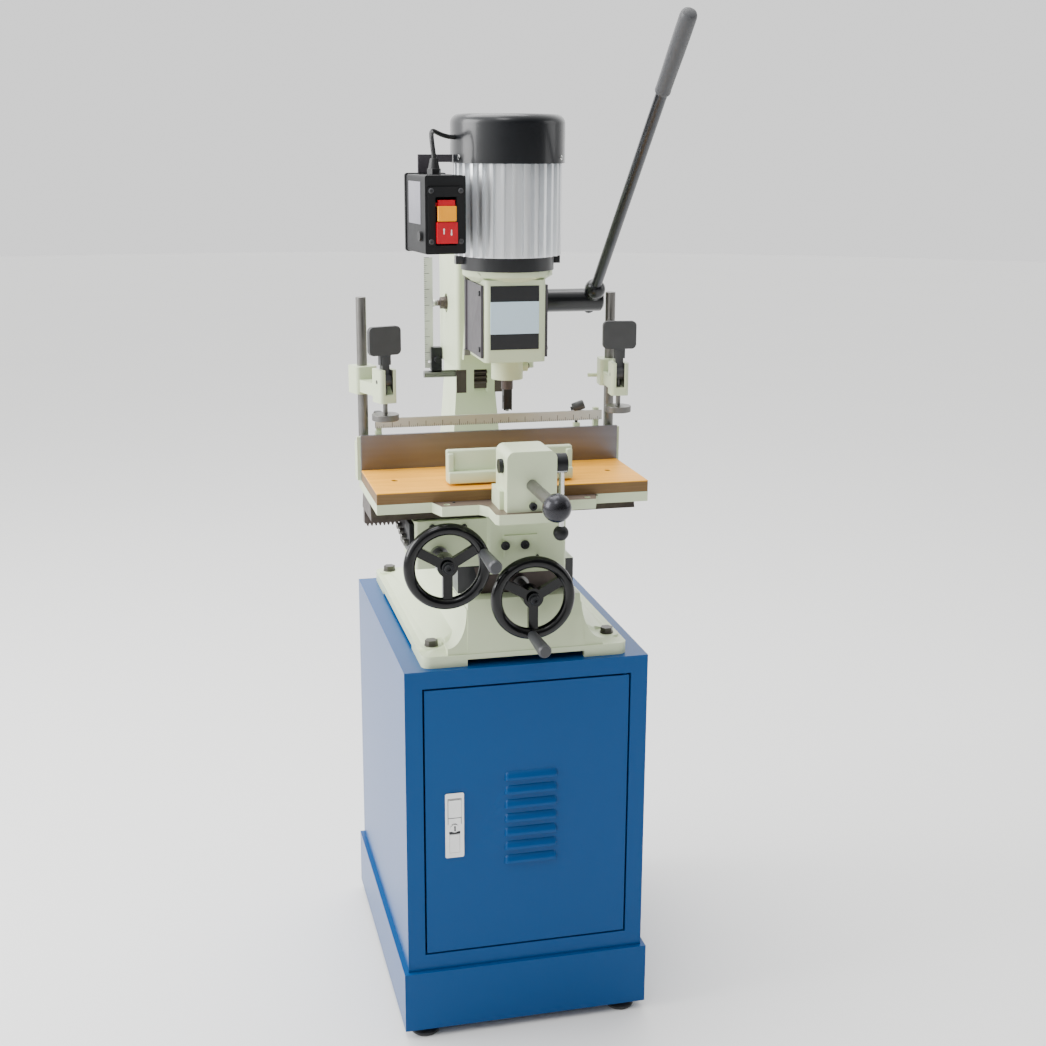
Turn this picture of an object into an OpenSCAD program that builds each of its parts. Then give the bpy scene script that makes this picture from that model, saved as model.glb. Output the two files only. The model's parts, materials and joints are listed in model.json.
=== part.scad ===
// Hollow chisel mortiser on a sheet-metal cabinet. X runs to the right, Y to the back and Z up.
// The origin is on the floor, midway between the four levelling feet.

/* [Cabinet] */
// Width of the cabinet body
cabinet_w = 375; // [345:1:460]
// Depth of the cabinet body, front to back
cabinet_d = 495; // [490:1:600]
// Height of the cabinet body above its plinth
cabinet_h = 490; // [470:1:700]
// Thickness of the sheet steel
sheet_t = 2; // [1.5:0.25:3]
// Height of the plinth
plinth_h = 98; // [60:1:140]
// How far the plinth stands proud of the body
plinth_proud = 7; // [3:0.5:15]
// Width of the door
door_w = 316; // [240:1:320]
// Height of the door
door_h = 430; // [300:1:440]
// Height of the door's lower edge above the cabinet floor
door_up = 30; // [25:1:36]
// Gap all round the door
door_gap = 3; // [2.8:0.1:5]
// Depth of the door's folded edges
door_fold = 18; // [14:1:30]
// Diameter of a door hinge pin
door_pin_d = 5; // [4:0.5:6]
// Number of pressed louvres in the door
louvre_count = 7; // [3:1:8]
// Width of one louvre
louvre_w = 84; // [50:1:120]
// Distance from one louvre to the next
louvre_pitch = 23; // [18:1:30]
// Height of a louvre's hood
louvre_h = 12; // [8:1:14]
// Diameter of a levelling foot's disc
foot_disc_d = 44; // [34:1:54]
// Thickness of a levelling foot's disc
foot_disc_h = 8; // [5:0.5:9]
// Height of the plinth above the floor
foot_h = 15; // [15:0.5:24]
// Diameter of a levelling foot's stud
foot_stud_d = 10; // [8:1:12]

/* [Latch] */
// Width of the latch plate
latch_w = 29; // [24:1:36]
// Height of the latch plate
latch_h = 106; // [100:1:120]
// Distance from the door's left edge to the middle of the latch plate
latch_in = 44; // [36:1:70]
// Height of the latch plate's middle above the door's lower edge
latch_up = 211; // [150:1:250]

/* [Base] */
// Width of the base casting
base_w = 316; // [290:1:330]
// Depth of the base casting
base_d = 480; // [476:1:484]
// Distance from the cabinet's front to the base's front edge
base_setback = 11.5; // [6:0.5:16]
// Height of the base's rim at the bolts
base_rim_h = 22; // [18:1:26]
// Height of the base where its skirt meets the pedestal
base_skirt_h = 38; // [34:1:50]
// Wall thickness of the base casting
base_wall = 10; // [8:1:14]
// Height of the pedestal's top above the cabinet
pedestal_h = 97; // [90:1:110]
// Width of the pedestal
pedestal_w = 172; // [166:1:190]
// Distance from a hold-down bolt to the base's side
bolt_in = 21; // [18:1:24]
// Diameter of a hold-down bolt
bolt_d = 10; // [8:1:12]
// Height of the cross ways
way_h = 42; // [38:1:46]
// How far behind the base's front the cross ways start
way_setback = 44; // [30:1:50]
// Width of the cross ways at their foot
way_w = 120; // [110:1:128]
// How much wider each side of the ways is at the top
way_flare = 11; // [8:1:14]

/* [Column] */
// Width of the column's front face at the top
column_w = 66; // [62:1:72]
// Width of the column at its foot
column_foot_w = 108; // [90:1:120]
// Distance from the origin back to the column's front face
column_y = 127; // [122:1:132]
// Depth of the column, front to back
column_d = 111; // [90:1:112]
// Height of the column's top above the floor
column_top_z = 1262; // [1230:1:1300]
// Height at which the dovetail starts
guide_z = 957; // [940:1:970]
// Width of the column's dovetail at its front
guide_w = 80; // [76:1:84]
// How far the dovetail stands in front of the column
guide_t = 39; // [36:1:40]
// How much narrower each side of the dovetail is at its root
guide_undercut = 9; // [6:1:11]

/* [Spindle head] */
// Distance from the origin forward to the spindle's axis
spindle_y = 103; // [100:0.5:106]
// Width of the carriage
carriage_w = 124; // [118:1:130]
// Height of the carriage
carriage_h = 168; // [150:1:190]
// Height of the carriage's lower edge above the floor
carriage_z = 1013; // [1008:1:1018]
// Distance from the origin forward to the carriage's front
carriage_front = 27; // [22:1:30]
// Width of the chuck chamber's casing
box_w = 92; // [86:1:100]
// Distance from the spindle's axis to the front of the casing
box_front = 55; // [52:1:62]
// Height of the casing
box_h = 120; // [112:1:122]
// Wall thickness of the casing
box_wall = 9; // [7:0.5:12]
// Diameter of the spindle nose
nose_d = 48; // [40:1:56]
// Length of the spindle nose below the casing
nose_h = 36; // [30:1:40]
// Travel of the head up from the depth stop
head_travel = 100; // [60:1:105]

/* [Motor] */
// Diameter of the motor's end flange
flange_d = 138; // [130:1:146]
// Thickness of the motor's end flange
flange_h = 20; // [14:1:26]
// Diameter of the motor's inner barrel
barrel_d = 140; // [136:1:146]
// Diameter over the cooling fins
fin_d = 158; // [152:1:160]
// Number of cooling fins
fin_count = 30; // [16:1:40]
// Thickness of a cooling fin
fin_t = 5; // [3:0.5:6]
// Length of the finned housing
housing_h = 141; // [110:1:160]
// Diameter of the fan cover
cover_d = 168; // [164:1:176]
// Height of the fan cover
cover_h = 69; // [55:1:85]
// Diameter of the motor shaft
shaft_d = 17; // [15:1:20]

/* [Chisel] */
// Side of the square chisel
chisel_w = 12.7; // [11:0.1:13]
// Diameter of the chisel's shank
chisel_shank_d = 19; // [18.5:0.1:20]
// Length of the round shoulder below the nose
chisel_shoulder_h = 16; // [10:1:20]
// Length of the square blade
chisel_blade_h = 33; // [20:1:33]
// Diameter of the auger bit
auger_d = 9; // [7:0.1:9.2]

/* [Feed] */
// Number of teeth on the feed pinion
feed_teeth = 24; // [23:1:24]
// Tooth size of the feed pinion and rack, pitch diameter over teeth
feed_module = 2.5; // [2.4:0.05:2.5]
// Width of the feed rack
feed_rack_w = 22; // [18:1:24]
// Height of the feed pinion's axis above the floor
feed_z = 1108; // [1090:1:1116]
// Diameter of the feed pinion's shaft
feed_shaft_d = 20; // [18:1:24]
// Diameter of the lever hub
hub_d = 37; // [34:1:42]
// Distance from the origin to the hub's right end
hub_end_x = 195; // [185:1:210]
// Length of the feed lever from its pivot
lever_len = 595; // [400:1:600]
// Lean of the feed lever towards the front
lever_lean = 46; // [30:1:50]
// Diameter of the feed lever
lever_d = 17; // [14:1:19]
// Length of the lever's grip
grip_len = 140; // [90:1:160]
// Diameter of the lever's grip
grip_d = 24; // [22:1:30]

/* [Switch] */
// Width of the switch box
switch_w = 59; // [54:1:68]
// Height of the switch box
switch_h = 107; // [100:1:120]
// Depth of the switch box
switch_d = 96; // [80:1:98]
// Height of the switch box's lower face above the floor
switch_z = 1205; // [1195:1:1215]
// Turn of the switch box about the vertical
switch_turn = 7; // [4:0.5:10]
// Diameter of the motor lead
lead_d = 7; // [6:0.5:8]

/* [Depth stop] */
// Width of the depth scale
scale_w = 14; // [12:1:18]
// Length of the depth scale
scale_h = 178; // [150:1:200]
// Diameter of the stop pin
stop_pin_d = 12; // [10:1:14]

/* [Handwheels] */
// Diameter of a handwheel
wheel_d = 126; // [110:1:126]
// Width of a handwheel's rim
wheel_rim = 17; // [14:1:20]
// Diameter of a handwheel's hub
wheel_hub_d = 30; // [26:1:36]
// Length of a handwheel's grip
wheel_grip_h = 76; // [50:1:80]
// Diameter of a handwheel's grip at its free end
wheel_grip_d = 20; // [16:1:22]

/* [Table] */
// Length of the table
table_w = 395; // [370:1:420]
// Depth of the table's wooden top
table_d = 154; // [148:1:158]
// Thickness of the wooden top
wood_t = 16.5; // [14:0.5:19]
// Thickness of the cast table
cast_t = 14.3; // [12:0.1:18]
// Height of the wooden top above the floor
table_z = 884; // [880:0.5:888]
// Place of the table's middle along X
table_x = -30; // [-40:1:-20]
// Distance from the origin forward to the fence's face
fence_front = 130; // [128:1:132]
// Width of the nose that carries the vise
nose_w = 96; // [90:1:100]
// How far the nose stands in front of the wooden top
nose_out = 91; // [86:1:96]
// How far the ledges stand in front of the wooden top
ledge_out = 28; // [20:1:36]
// Width over the ledges
ledge_w = 222; // [200:1:240]
// Travel of the table each way along X
table_travel = 75; // [50:1:80]
// Travel of the saddle to the back
saddle_travel = 85; // [60:1:90]
// Number of teeth on the table pinion
table_teeth = 22; // [21:1:22]
// Tooth size of the table pinion and rack, pitch diameter over teeth
table_module = 2; // [1.9:0.05:2]
// Diameter of the table pinion's shaft
table_shaft_d = 16; // [14:1:18]
// Diameter of the cross feed screw
screw_d = 16; // [14:1:18]

/* [Fence] */
// Height of the fence above the wooden top
fence_h = 52; // [46:1:53]
// Thickness of the steel fence plate
plate_t = 6; // [4:0.5:7]
// Thickness of the fence casting's wall
fence_wall = 9; // [7:0.5:10]
// Length of the stop ruler
ruler_w = 350; // [320:1:360]
// Height of the stop ruler
ruler_h = 15; // [12:1:18]

/* [Vise] */
// Width of the vise block
vise_w = 70; // [64:1:76]
// Depth of the vise block
vise_d = 69; // [60:1:74]
// Height of the vise block above the cast table
vise_h = 84; // [80:1:92]
// Width of the vise jaw
jaw_w = 184; // [150:1:200]
// Height of the vise jaw
jaw_h = 48; // [40:1:52]
// Thickness of the vise jaw
jaw_t = 22; // [16:1:24]
// Travel of the vise jaw towards the fence
jaw_travel = 100; // [60:1:102]
// Diameter of the vise's push rod
ram_d = 16; // [14:1:18]
// Diameter of the push rod's ball
ball_d = 38; // [32:1:40]

/* [Hold-downs] */
// Diameter of a hold-down post
post_d = 15; // [13:1:17]
// Height of a post's top above the floor
post_top_z = 1137; // [1110:1:1150]
// Distance from the table's middle to each post
post_off = 190; // [180:1:194]
// Reach from a post to its plunger
arm_reach = 74; // [66:1:84]
// Height of an arm's block
arm_h = 40; // [34:1:46]
// Diameter of a plunger's foot
pad_d = 39; // [30:1:42]

/* [Clearances] */
// Radial clearance of shafts and pins in their bores
run_fit = 0.05; // [0.02:0.01:0.1]
// Clearance of sliding flat faces
slide_gap = 0.1; // [0.05:0.05:0.15]
// Gap between loose neighbours
part_gap = 0.3; // [0.2:0.05:0.5]

/* [Hidden] */
$fn = 48;
MESH_FN = 32;
CUT = 1;
MAGNET = 0.01;

// Colours
BLUE = "#0b5a8e";
GREEN = "#d9ddc9";
STEEL = "#a9abab";
BLACK = "#1c1d20";
DARK = "#4a4b4e";
GREY = "#8b8d90";
ALUMINIUM = "#c9ccce";
WOOD = "#e2b674";

// Heights of the stand, from the floor up
body_z = foot_h + plinth_h;
top_z = body_z + cabinet_h;
way_z = top_z + pedestal_h;
way_top_z = way_z + way_h;

// The door in its opening
front_y = -cabinet_d / 2;
door_z = body_z + door_up;
door_pin_in = 5;
door_pin_back = 5.5;
door_pin_x = door_w / 2 - door_pin_in;
door_pin_y = front_y + door_pin_back;
knuckle_w = 9;
knuckle_h = 20;
door_pin_len = 12;
frame_d = door_fold + 6;

// The latch on the door
latch_x = -door_w / 2 + latch_in;
latch_z = door_z + latch_up;
latch_t = 2;
flap_w = 16;
flap_h = 26;
flap_z = latch_z - 32;

// The base
base_front = front_y + base_setback;
base_back = base_front + base_d;
base_mid = (base_front + base_back) / 2;
bolt_x = base_w / 2 - bolt_in;
bolt_front_y = base_front + 42;
bolt_back_y = base_back - 29;
foot_len = 60;
arch_h = 10;
bolt_head_h = 7;
washer_t = 2;
pedestal_slope = 16;
channel_w = 44;
way_front = base_front + way_setback;
way_back = base_front + 296;
screw_z = way_z + 14;
screw_journal_d = screw_d - 2;
channel_z = screw_z - screw_d / 2 - 4;

// The column
column_z = top_z + base_skirt_h + 40;
column_back = column_y + column_d;
column_lean = 24;
column_flange_t = 18;
guide_front = column_y - guide_t;

// The head
box_z = carriage_z + 29;
box_top_z = box_z + box_h;
head_top_z = box_top_z + 12;
carriage_back = column_y - 8;
nose_z = box_z - nose_h + 4;
box_front_y = -spindle_y - box_front;
door_x = box_w / 2;
chuck_door_t = 4;
chuck_door_w = box_front + spindle_y - carriage_front - 28;
chuck_door_h = box_h - 14;
chuck_door_pin_y = -carriage_front - 20;
chuck_door_pin_d = 4;
chuck_door_z = box_z + 6;
chamber_y0 = box_front_y + box_wall;
chamber_y1 = -carriage_front - 26;
chamber_z0 = box_z + box_wall;
chamber_z1 = box_top_z - box_wall;

// The feed pinion and its rack; the pitch line lies a pitch radius behind the shaft
feed_pitch_r = feed_module * feed_teeth / 2;
feed_y = guide_front - feed_pitch_r;
feed_rack_t = 14;
backlash = 0.3;

// The motor, from the head up
flange_z = head_top_z;
housing_z = flange_z + flange_h;
housing_top_z = housing_z + housing_h;
cover_lap = 8;
cover_z = housing_top_z - cover_lap;
cover_t = 1.5;
cover_round = 14;
bearing_h = 12;
bearing_d = 40;
rotor_d = 70;
stator_h = 84;
fan_z = cover_z + 12;

// The chisel and its bit
shank_h = 26;
shoulder_z = nose_z - chisel_shoulder_h;
chisel_z = shoulder_z - chisel_blade_h;
auger_bore_d = auger_d + 2 * part_gap;
chuck_z = nose_z + 66;
chuck_h = 46;

// The feed lever
lever_x = hub_end_x - 17;
hub_x = carriage_w / 2 + part_gap;

// The switch box hangs beside the motor on its bracket
switch_x = -cover_d / 2 - 30;
switch_y = -spindle_y - 112;
switch_wall = 3;
bracket_t = 3;
paddle_z = switch_z + 74;
paddle_w = 30;
gland_back = 52;
gland_h = 22;
gland_d = 21;

// The depth stop
scale_y = column_y - 27;
scale_t = 2;
pin_z = carriage_z - 25;
stop_z = pin_z + stop_pin_d / 2 + part_gap;
scale_x = -carriage_w / 2 - 14 - scale_w / 2;
block_h = 38;
block_d = 16;

// The saddle
saddle_front = base_front + 2;
saddle_w = 120;
saddle_back = saddle_front + 174;
saddle_lip_w = 192;
slot_back = saddle_front + 105;
wood_z = table_z - wood_t;
cast_z = wood_z - cast_t;
rail_h = 24;
rail_z = cast_z - rail_h;
rail_mid_y = saddle_front + 56;
rail_top_w = 76;
rail_flare = 8;

// The table drive: the rack's pitch line is a pitch radius above the shaft
table_pitch_r = table_module * table_teeth / 2;
table_shaft_x = -131;
table_shaft_z = rail_z - 53;
table_rack_z = table_shaft_z + table_pitch_r;
table_rack_t = 14;
table_rack_y = slot_back + 5;
table_rack_body = 14;
wing_left = table_shaft_x - 35;
wing_h = 74;

// The handwheels
cross_wheel_y = base_front - 36;
table_wheel_y = saddle_front - 61;

// The table top and the fence
fence_y = -fence_front;
wood_front = fence_y - table_d;
cast_back = fence_y + 30;
fence_top_z = table_z + fence_h;
casting_y = fence_y + plate_t;
ruler_z = fence_top_z + 8;
ruler_t = 3;
ruler_y = casting_y + 5;

// The vise
vise_x = table_x + 4;
vise_front = wood_front - nose_out + 9;
vise_z = wood_z;
ram_z = vise_z + 37;
lock_z = vise_z + 60;
lock_y = vise_front + 28;
jaw_z = table_z + 2.6;
jaw_back = fence_y - jaw_travel - 10;
ram_end = vise_front - 115;
lock_x = vise_x + vise_w / 2;

// The hold-downs
post_y = casting_y + fence_wall + 9;
arm_z = 997;
pad_z = 967;
pad_t = 9;
clevis_w = 26;
cam_z = arm_z + 20;
cam_d = 18;
cam_throw = 3;
plunger_d = 7;
left_swing = 18;
right_swing = -6;

// ---------- Building blocks ----------

module block(x0, x1, y0, y1, z0, z1) {
    translate([x0, y0, z0]) cube([x1 - x0, y1 - y0, z1 - z0]);
}

module rod_x(d, x0, x1, y, z) {
    translate([x0, y, z]) rotate([0, 90, 0]) cylinder(d = d, h = x1 - x0);
}

module rod_y(d, y0, y1, x, z) {
    translate([x, y0, z]) rotate([-90, 0, 0]) cylinder(d = d, h = y1 - y0);
}

module rod_z(d, z0, z1, x, y) {
    translate([x, y, z0]) cylinder(d = d, h = z1 - z0);
}

module round_rect(w, d, r) {
    square([w - 2 * r, d], center = true);
    square([w, d - 2 * r], center = true);
    for (sx = [-1, 1], sy = [-1, 1])
        translate([sx * (w / 2 - r), sy * (d / 2 - r)]) circle(r);
}

// A block with round vertical edges
module round_block(x0, x1, y0, y1, z0, z1, r) {
    translate([(x0 + x1) / 2, (y0 + y1) / 2, z0])
        linear_extrude(z1 - z0) round_rect(x1 - x0, y1 - y0, r);
}

// A block with round edges along Y
module round_block_y(x0, x1, y0, y1, z0, z1, r) {
    translate([(x0 + x1) / 2, y1, (z0 + z1) / 2]) rotate([90, 0, 0])
        linear_extrude(y1 - y0) round_rect(x1 - x0, z1 - z0, r);
}

// A block with round edges along X
module round_block_x(x0, x1, y0, y1, z0, z1, r) {
    translate([x0, (y0 + y1) / 2, (z0 + z1) / 2]) rotate([90, 0, 90])
        linear_extrude(x1 - x0) round_rect(y1 - y0, z1 - z0, r);
}

module ring_z(d, bore, z0, z1, x, y) {
    difference() {
        rod_z(d, z0, z1, x, y);
        rod_z(bore, z0 - CUT, z1 + CUT, x, y);
    }
}

// A hexagon prism across its flats
module hexagon(flats, h) {
    cylinder(d = flats / cos(30), h = h, $fn = 6);
}

// A solid between two level rectangles, each [x0, x1, y0, y1, z]
module taper(low, high) {
    hull() {
        block(low[0], low[1], low[2], low[3], low[4], low[4] + MAGNET);
        block(high[0], high[1], high[2], high[3], high[4] - MAGNET, high[4]);
    }
}

// ---------- Gear teeth ----------

PRESSURE = 20;
TOOTH_STEPS = 5;

function involute(r, turn) = [
    r * (cos(turn) + turn * PI / 180 * sin(turn)),
    r * (sin(turn) - turn * PI / 180 * cos(turn))];
function turn_to(base_r, r) = sqrt(max(0, pow(r / base_r, 2) - 1)) * 180 / PI;
function angle_of(p) = atan2(p.y, p.x);
function spin_point(p, a) = [p.x * cos(a) - p.y * sin(a), p.x * sin(a) + p.y * cos(a)];

// One flank from the root to the tip, with the tooth's middle on the X axis
function flank(m, n) =
    let (pitch_r = m * n / 2, base_r = pitch_r * cos(PRESSURE), tip_r = pitch_r + m * 0.9,
        half = 90 / n - backlash / 2 / pitch_r * 180 / PI,
        start = angle_of(involute(base_r, turn_to(base_r, pitch_r))))
    [for (i = [0:TOOTH_STEPS])
        let (r = max(base_r, pitch_r - m) + (tip_r - max(base_r, pitch_r - m)) * i / TOOTH_STEPS)
        spin_point(involute(base_r, turn_to(base_r, r)), -half - start)];

function tooth(m, n) =
    let (side = flank(m, n), root_r = m * n / 2 - 1.25 * m, a = angle_of(side[0]))
    concat([[root_r * cos(a), root_r * sin(a)]], side,
        [for (i = [TOOTH_STEPS:-1:0]) [side[i].x, -side[i].y]],
        [[root_r * cos(a), -root_r * sin(a)]]);

// A pinion in the XY plane with a tooth space centred on the +X axis when offset is zero
module pinion(m, n, h, offset) {
    linear_extrude(h) {
        circle(m * n / 2 - 1.2 * m);
        for (i = [0:n - 1]) rotate(offset + (i + 0.5) * 360 / n) polygon(tooth(m, n));
    }
}

// A rack's outline: teeth along X from x0 to x1 pointing to +Y, pitch line on y = 0, a tooth on x = 0
module rack_outline(m, x0, x1, body) {
    p = PI * m;
    half = p / 4 - backlash / 2;
    tip = 0.9 * m;
    root = 1.25 * m;
    translate([x0, -root - body]) square([x1 - x0, body]);
    for (i = [ceil((x0 + p / 2) / p):floor((x1 - p / 2) / p)])
        translate([i * p, 0]) polygon([
            [-half - root * tan(PRESSURE), -root - MAGNET], [-half - root * tan(PRESSURE), -root],
            [-half + tip * tan(PRESSURE), tip], [half - tip * tan(PRESSURE), tip],
            [half + root * tan(PRESSURE), -root], [half + root * tan(PRESSURE), -root - MAGNET]]);
}

// ---------- Cabinet stand ----------

module cabinet_shell() {
    color(BLUE) difference() {
        union() {
            difference() {
                block(-cabinet_w / 2, cabinet_w / 2, front_y, -front_y, body_z, top_z);
                block(-cabinet_w / 2 + sheet_t, cabinet_w / 2 - sheet_t, front_y + sheet_t,
                    -front_y - sheet_t, body_z + sheet_t, top_z - sheet_t);
            }
            difference() {
                door_opening(sheet_t, front_y, front_y + frame_d);
                door_opening(0, front_y - CUT, front_y + frame_d + CUT);
            }
            for (side = [0, 1]) rod_z(door_pin_d + 8, hinge_ends(side)[0], hinge_ends(side)[1],
                door_pin_x, door_pin_y + 2);
        }
        door_opening(0, front_y - CUT, front_y + sheet_t + CUT);
        for (x = [-1, 1], y = [bolt_front_y, bolt_back_y])
            rod_z(bolt_d + 1, top_z - sheet_t - CUT, top_z + CUT, x * bolt_x, y);
        for (x = [-1, 1], y = [-1, 1])
            rod_z(6.6, body_z - CUT, body_z + sheet_t + CUT, x * seat_x, y * seat_y);
    }
    color(STEEL) for (side = [0, 1])
        rod_z(door_pin_d, hinge_ends(side)[2], hinge_ends(side)[3], door_pin_x, door_pin_y);
}

// Boss from, boss to, pin from and pin to, at the lower and the upper hinge
function hinge_ends(side) = side == 0
    ? [door_z - door_gap - sheet_t - 6, door_z - door_gap - sheet_t, door_z - door_gap - sheet_t - 6, door_z + door_pin_len]
    : [door_z + door_h + door_gap + sheet_t, door_z + door_h + door_gap + sheet_t + 6,
        door_z + door_h - door_pin_len, door_z + door_h + door_gap + sheet_t + 6];

module door_opening(grow, y0, y1) {
    block(-door_w / 2 - door_gap - grow, door_w / 2 + door_gap + grow, y0, y1,
        door_z - door_gap - grow, door_z + door_h + door_gap + grow);
}

// The plinth is a folded tray; the body stands on its top flange
seat_x = cabinet_w / 2 - 25;
seat_y = cabinet_d / 2 - 25;
foot_x = cabinet_w / 2 - 27.5;
foot_y = cabinet_d / 2 - 17.5;
plinth_flange = 50;

module cabinet_plinth() {
    w = cabinet_w / 2 + plinth_proud;
    d = cabinet_d / 2 + plinth_proud;
    color(BLUE) difference() {
        block(-w, w, -d, d, foot_h, body_z);
        block(-w + sheet_t, w - sheet_t, -d + sheet_t, d - sheet_t, foot_h + sheet_t, body_z - sheet_t);
        block(-w + plinth_flange, w - plinth_flange, -d + plinth_flange, d - plinth_flange,
            foot_h - CUT, body_z + CUT);
        for (x = [-1, 1], y = [-1, 1]) {
            rod_z(foot_stud_d + 0.6, foot_h - CUT, foot_h + sheet_t + CUT, x * foot_x, y * foot_y);
            rod_z(6.6, body_z - sheet_t - CUT, body_z + CUT, x * seat_x, y * seat_y);
        }
    }
}

module levelling_feet() {
    nut = foot_stud_d * 1.6;
    for (x = [-1, 1], y = [-1, 1]) translate([x * foot_x, y * foot_y, 0]) {
        color(BLACK) rotate_extrude() polygon([[0, 0], [foot_disc_d / 2 - 2, 0], [foot_disc_d / 2, 2],
            [foot_disc_d / 2, foot_disc_h - 3], [foot_disc_d / 2 - 6, foot_disc_h], [0, foot_disc_h]]);
        color(STEEL) translate([0, 0, foot_disc_h]) cylinder(d = foot_stud_d, h = 52);
        color(STEEL) difference() {
            translate([0, 0, foot_disc_h]) hexagon(nut, foot_h - foot_disc_h);
            translate([0, 0, foot_disc_h - CUT]) cylinder(d = foot_stud_d - MAGNET, h = foot_h);
        }
        color(STEEL) difference() {
            translate([0, 0, foot_h + sheet_t]) hexagon(nut, 8);
            translate([0, 0, foot_h]) cylinder(d = foot_stud_d - MAGNET, h = foot_h);
        }
    }
}

module cabinet_door() {
    w = door_w / 2;
    top = door_z + door_h;
    louvre_x = 4;
    louvre_z = door_z + 208;
    pitch_line = louvre_z + (louvre_count - 1) / 2 * louvre_pitch;
    color(BLUE) difference() {
        union() {
            difference() {
                block(-w, w, front_y, front_y + door_fold, door_z, top);
                block(-w + sheet_t, w - sheet_t, front_y + sheet_t, front_y + door_fold + CUT,
                    door_z + sheet_t, top - sheet_t);
            }
            for (z = [door_z, top - knuckle_h])
                block(w - knuckle_w - 1, w - MAGNET, front_y + MAGNET, front_y + knuckle_w + 3, z, z + knuckle_h);
            for (i = [0:louvre_count - 1])
                louvre_hood(louvre_x, pitch_line - i * louvre_pitch, 0);
        }
        for (i = [0:louvre_count - 1])
            louvre_hood(louvre_x, pitch_line - i * louvre_pitch, 1);
        for (z = [door_z - CUT, top - knuckle_h - CUT])
            rod_z(door_pin_d + 2 * run_fit, z, z + knuckle_h + 2 * CUT, door_pin_x, door_pin_y);
        latch_hole();
    }
}

// A pressed hood that stands out of the door and opens downwards; the cut leaves its thin wall
module louvre_hood(x, z, inside) {
    t = inside * 1.2;
    w = louvre_w / 2 - t;
    out = louvre_h * 0.45;
    translate([x - w, front_y, z]) rotate([90, 0, 90]) linear_extrude(2 * w) polygon([
        [sheet_t + inside * CUT, -inside * CUT], [-out + t, -inside * CUT], [-out + t, louvre_h * 0.2],
        [-MAGNET + inside * sheet_t, louvre_h - t], [sheet_t + inside * CUT, louvre_h - t]]);
}

module latch_hole() {
    block(latch_x - latch_w / 2 + 4, latch_x + latch_w / 2 - 4, front_y - CUT, front_y + sheet_t + CUT,
        latch_z - latch_h / 2 + 6, latch_z + latch_h / 2 - 6);
}

// The latch is a pressed tray with a raised square, a key barrel and a window for its flap
module door_latch() {
    w = latch_w / 2;
    h = latch_h / 2;
    color(STEEL) difference() {
        union() {
            round_block_y(latch_x - w, latch_x + w, front_y - latch_t, front_y, latch_z - h, latch_z + h, 3);
            block(latch_x - w + 4.2, latch_x + w - 4.2, front_y - MAGNET, front_y + 14,
                latch_z - h + 6.2, latch_z + h - 6.2);
            round_block_y(latch_x - 10, latch_x + 10, front_y - latch_t - 1.5, front_y,
                latch_z + 14, latch_z + 42, 2);
            rod_y(13, front_y - latch_t - 2, front_y, latch_x, latch_z - 4);
        }
        block(latch_x - flap_w / 2, latch_x + flap_w / 2, front_y - latch_t - CUT, front_y + 12,
            flap_z - flap_h / 2, flap_z + flap_h / 2 + 8);
        block(latch_x - 1, latch_x + 1, front_y - latch_t - 3, front_y - latch_t, latch_z - 8, latch_z);
    }
}

// The flap turns on a pin at its top and carries the tongue that hooks behind the frame
module latch_flap() {
    pivot_z = flap_z + flap_h / 2 + 4;
    w = flap_w / 2 - part_gap;
    color(STEEL) {
        block(latch_x - w, latch_x + w, front_y - latch_t, front_y, flap_z - flap_h / 2 + part_gap, pivot_z);
        rod_x(5, latch_x - w, latch_x + w, front_y + 1.5, pivot_z);
    }
}

// ---------- Base and column ----------

module base_casting() {
    w = base_w / 2;
    p = pedestal_w / 2;
    color(GREEN) difference() {
        union() {
            round_block(-w, w, base_front, base_back, top_z, top_z + base_rim_h - 4, 14);
            taper([-w + 7, w - 7, base_front + 7, base_back - 7, top_z + base_rim_h - 5],
                [-p - 14, p + 14, base_front + foot_len, base_back - foot_len, top_z + base_skirt_h]);
            taper([-p - 5, p + 5, base_front, base_back - 26, top_z + arch_h],
                [-p, p, base_front + pedestal_slope, way_back, way_z]);
            for (x = [-1, 1], y = [bolt_front_y, bolt_back_y])
                rod_z(36, top_z, top_z + base_rim_h, x * bolt_x, y);
            block(-p, p, way_back - 30, base_back - 2, top_z + 20, column_z);
            cross_ways(0);
        }
        base_hollow();
        block(-base_w / 2 + foot_len + 8, base_w / 2 - foot_len - 8, base_front - CUT, base_back + CUT,
            top_z - CUT, top_z + arch_h);
        block(-w - CUT, w + CUT, base_front + 1.6 * foot_len, base_back - 1.6 * foot_len,
            top_z - CUT, top_z + arch_h / 2);
        for (x = [-1, 1], y = [bolt_front_y, bolt_back_y]) {
            rod_z(bolt_d + 1, top_z - CUT, top_z + base_rim_h + CUT, x * bolt_x, y);
            rod_z(40, top_z + base_rim_h, top_z + base_rim_h + 60, x * bolt_x, y);
        }
        for (x = [-1, 1], y = [-1, 1])
            rod_z(column_bolt_d + 1, column_z - 30, column_z + CUT, x * column_bolt_x, column_bolt_y(y));
        block(-channel_w / 2, channel_w / 2, way_front + 14, way_back + CUT, channel_z, way_top_z + CUT);
        rod_y(screw_journal_d + 2 * run_fit, way_front - CUT, way_front + 20, 0, screw_z);
    }
}

module cross_ways(gap) {
    translate([0, way_back, 0]) rotate([90, 0, 0]) linear_extrude(way_back - way_front) polygon([
        [-way_w / 2 + gap, way_z - MAGNET], [way_w / 2 - gap, way_z - MAGNET],
        [way_w / 2 + way_flare, way_top_z], [-way_w / 2 - way_flare, way_top_z]]);
}

column_bolt_d = 12;
column_bolt_x = 70;
function column_bolt_y(side) = column_mid_y + side * 42;
column_mid_y = (column_y - column_lean + column_back) / 2;

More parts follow.
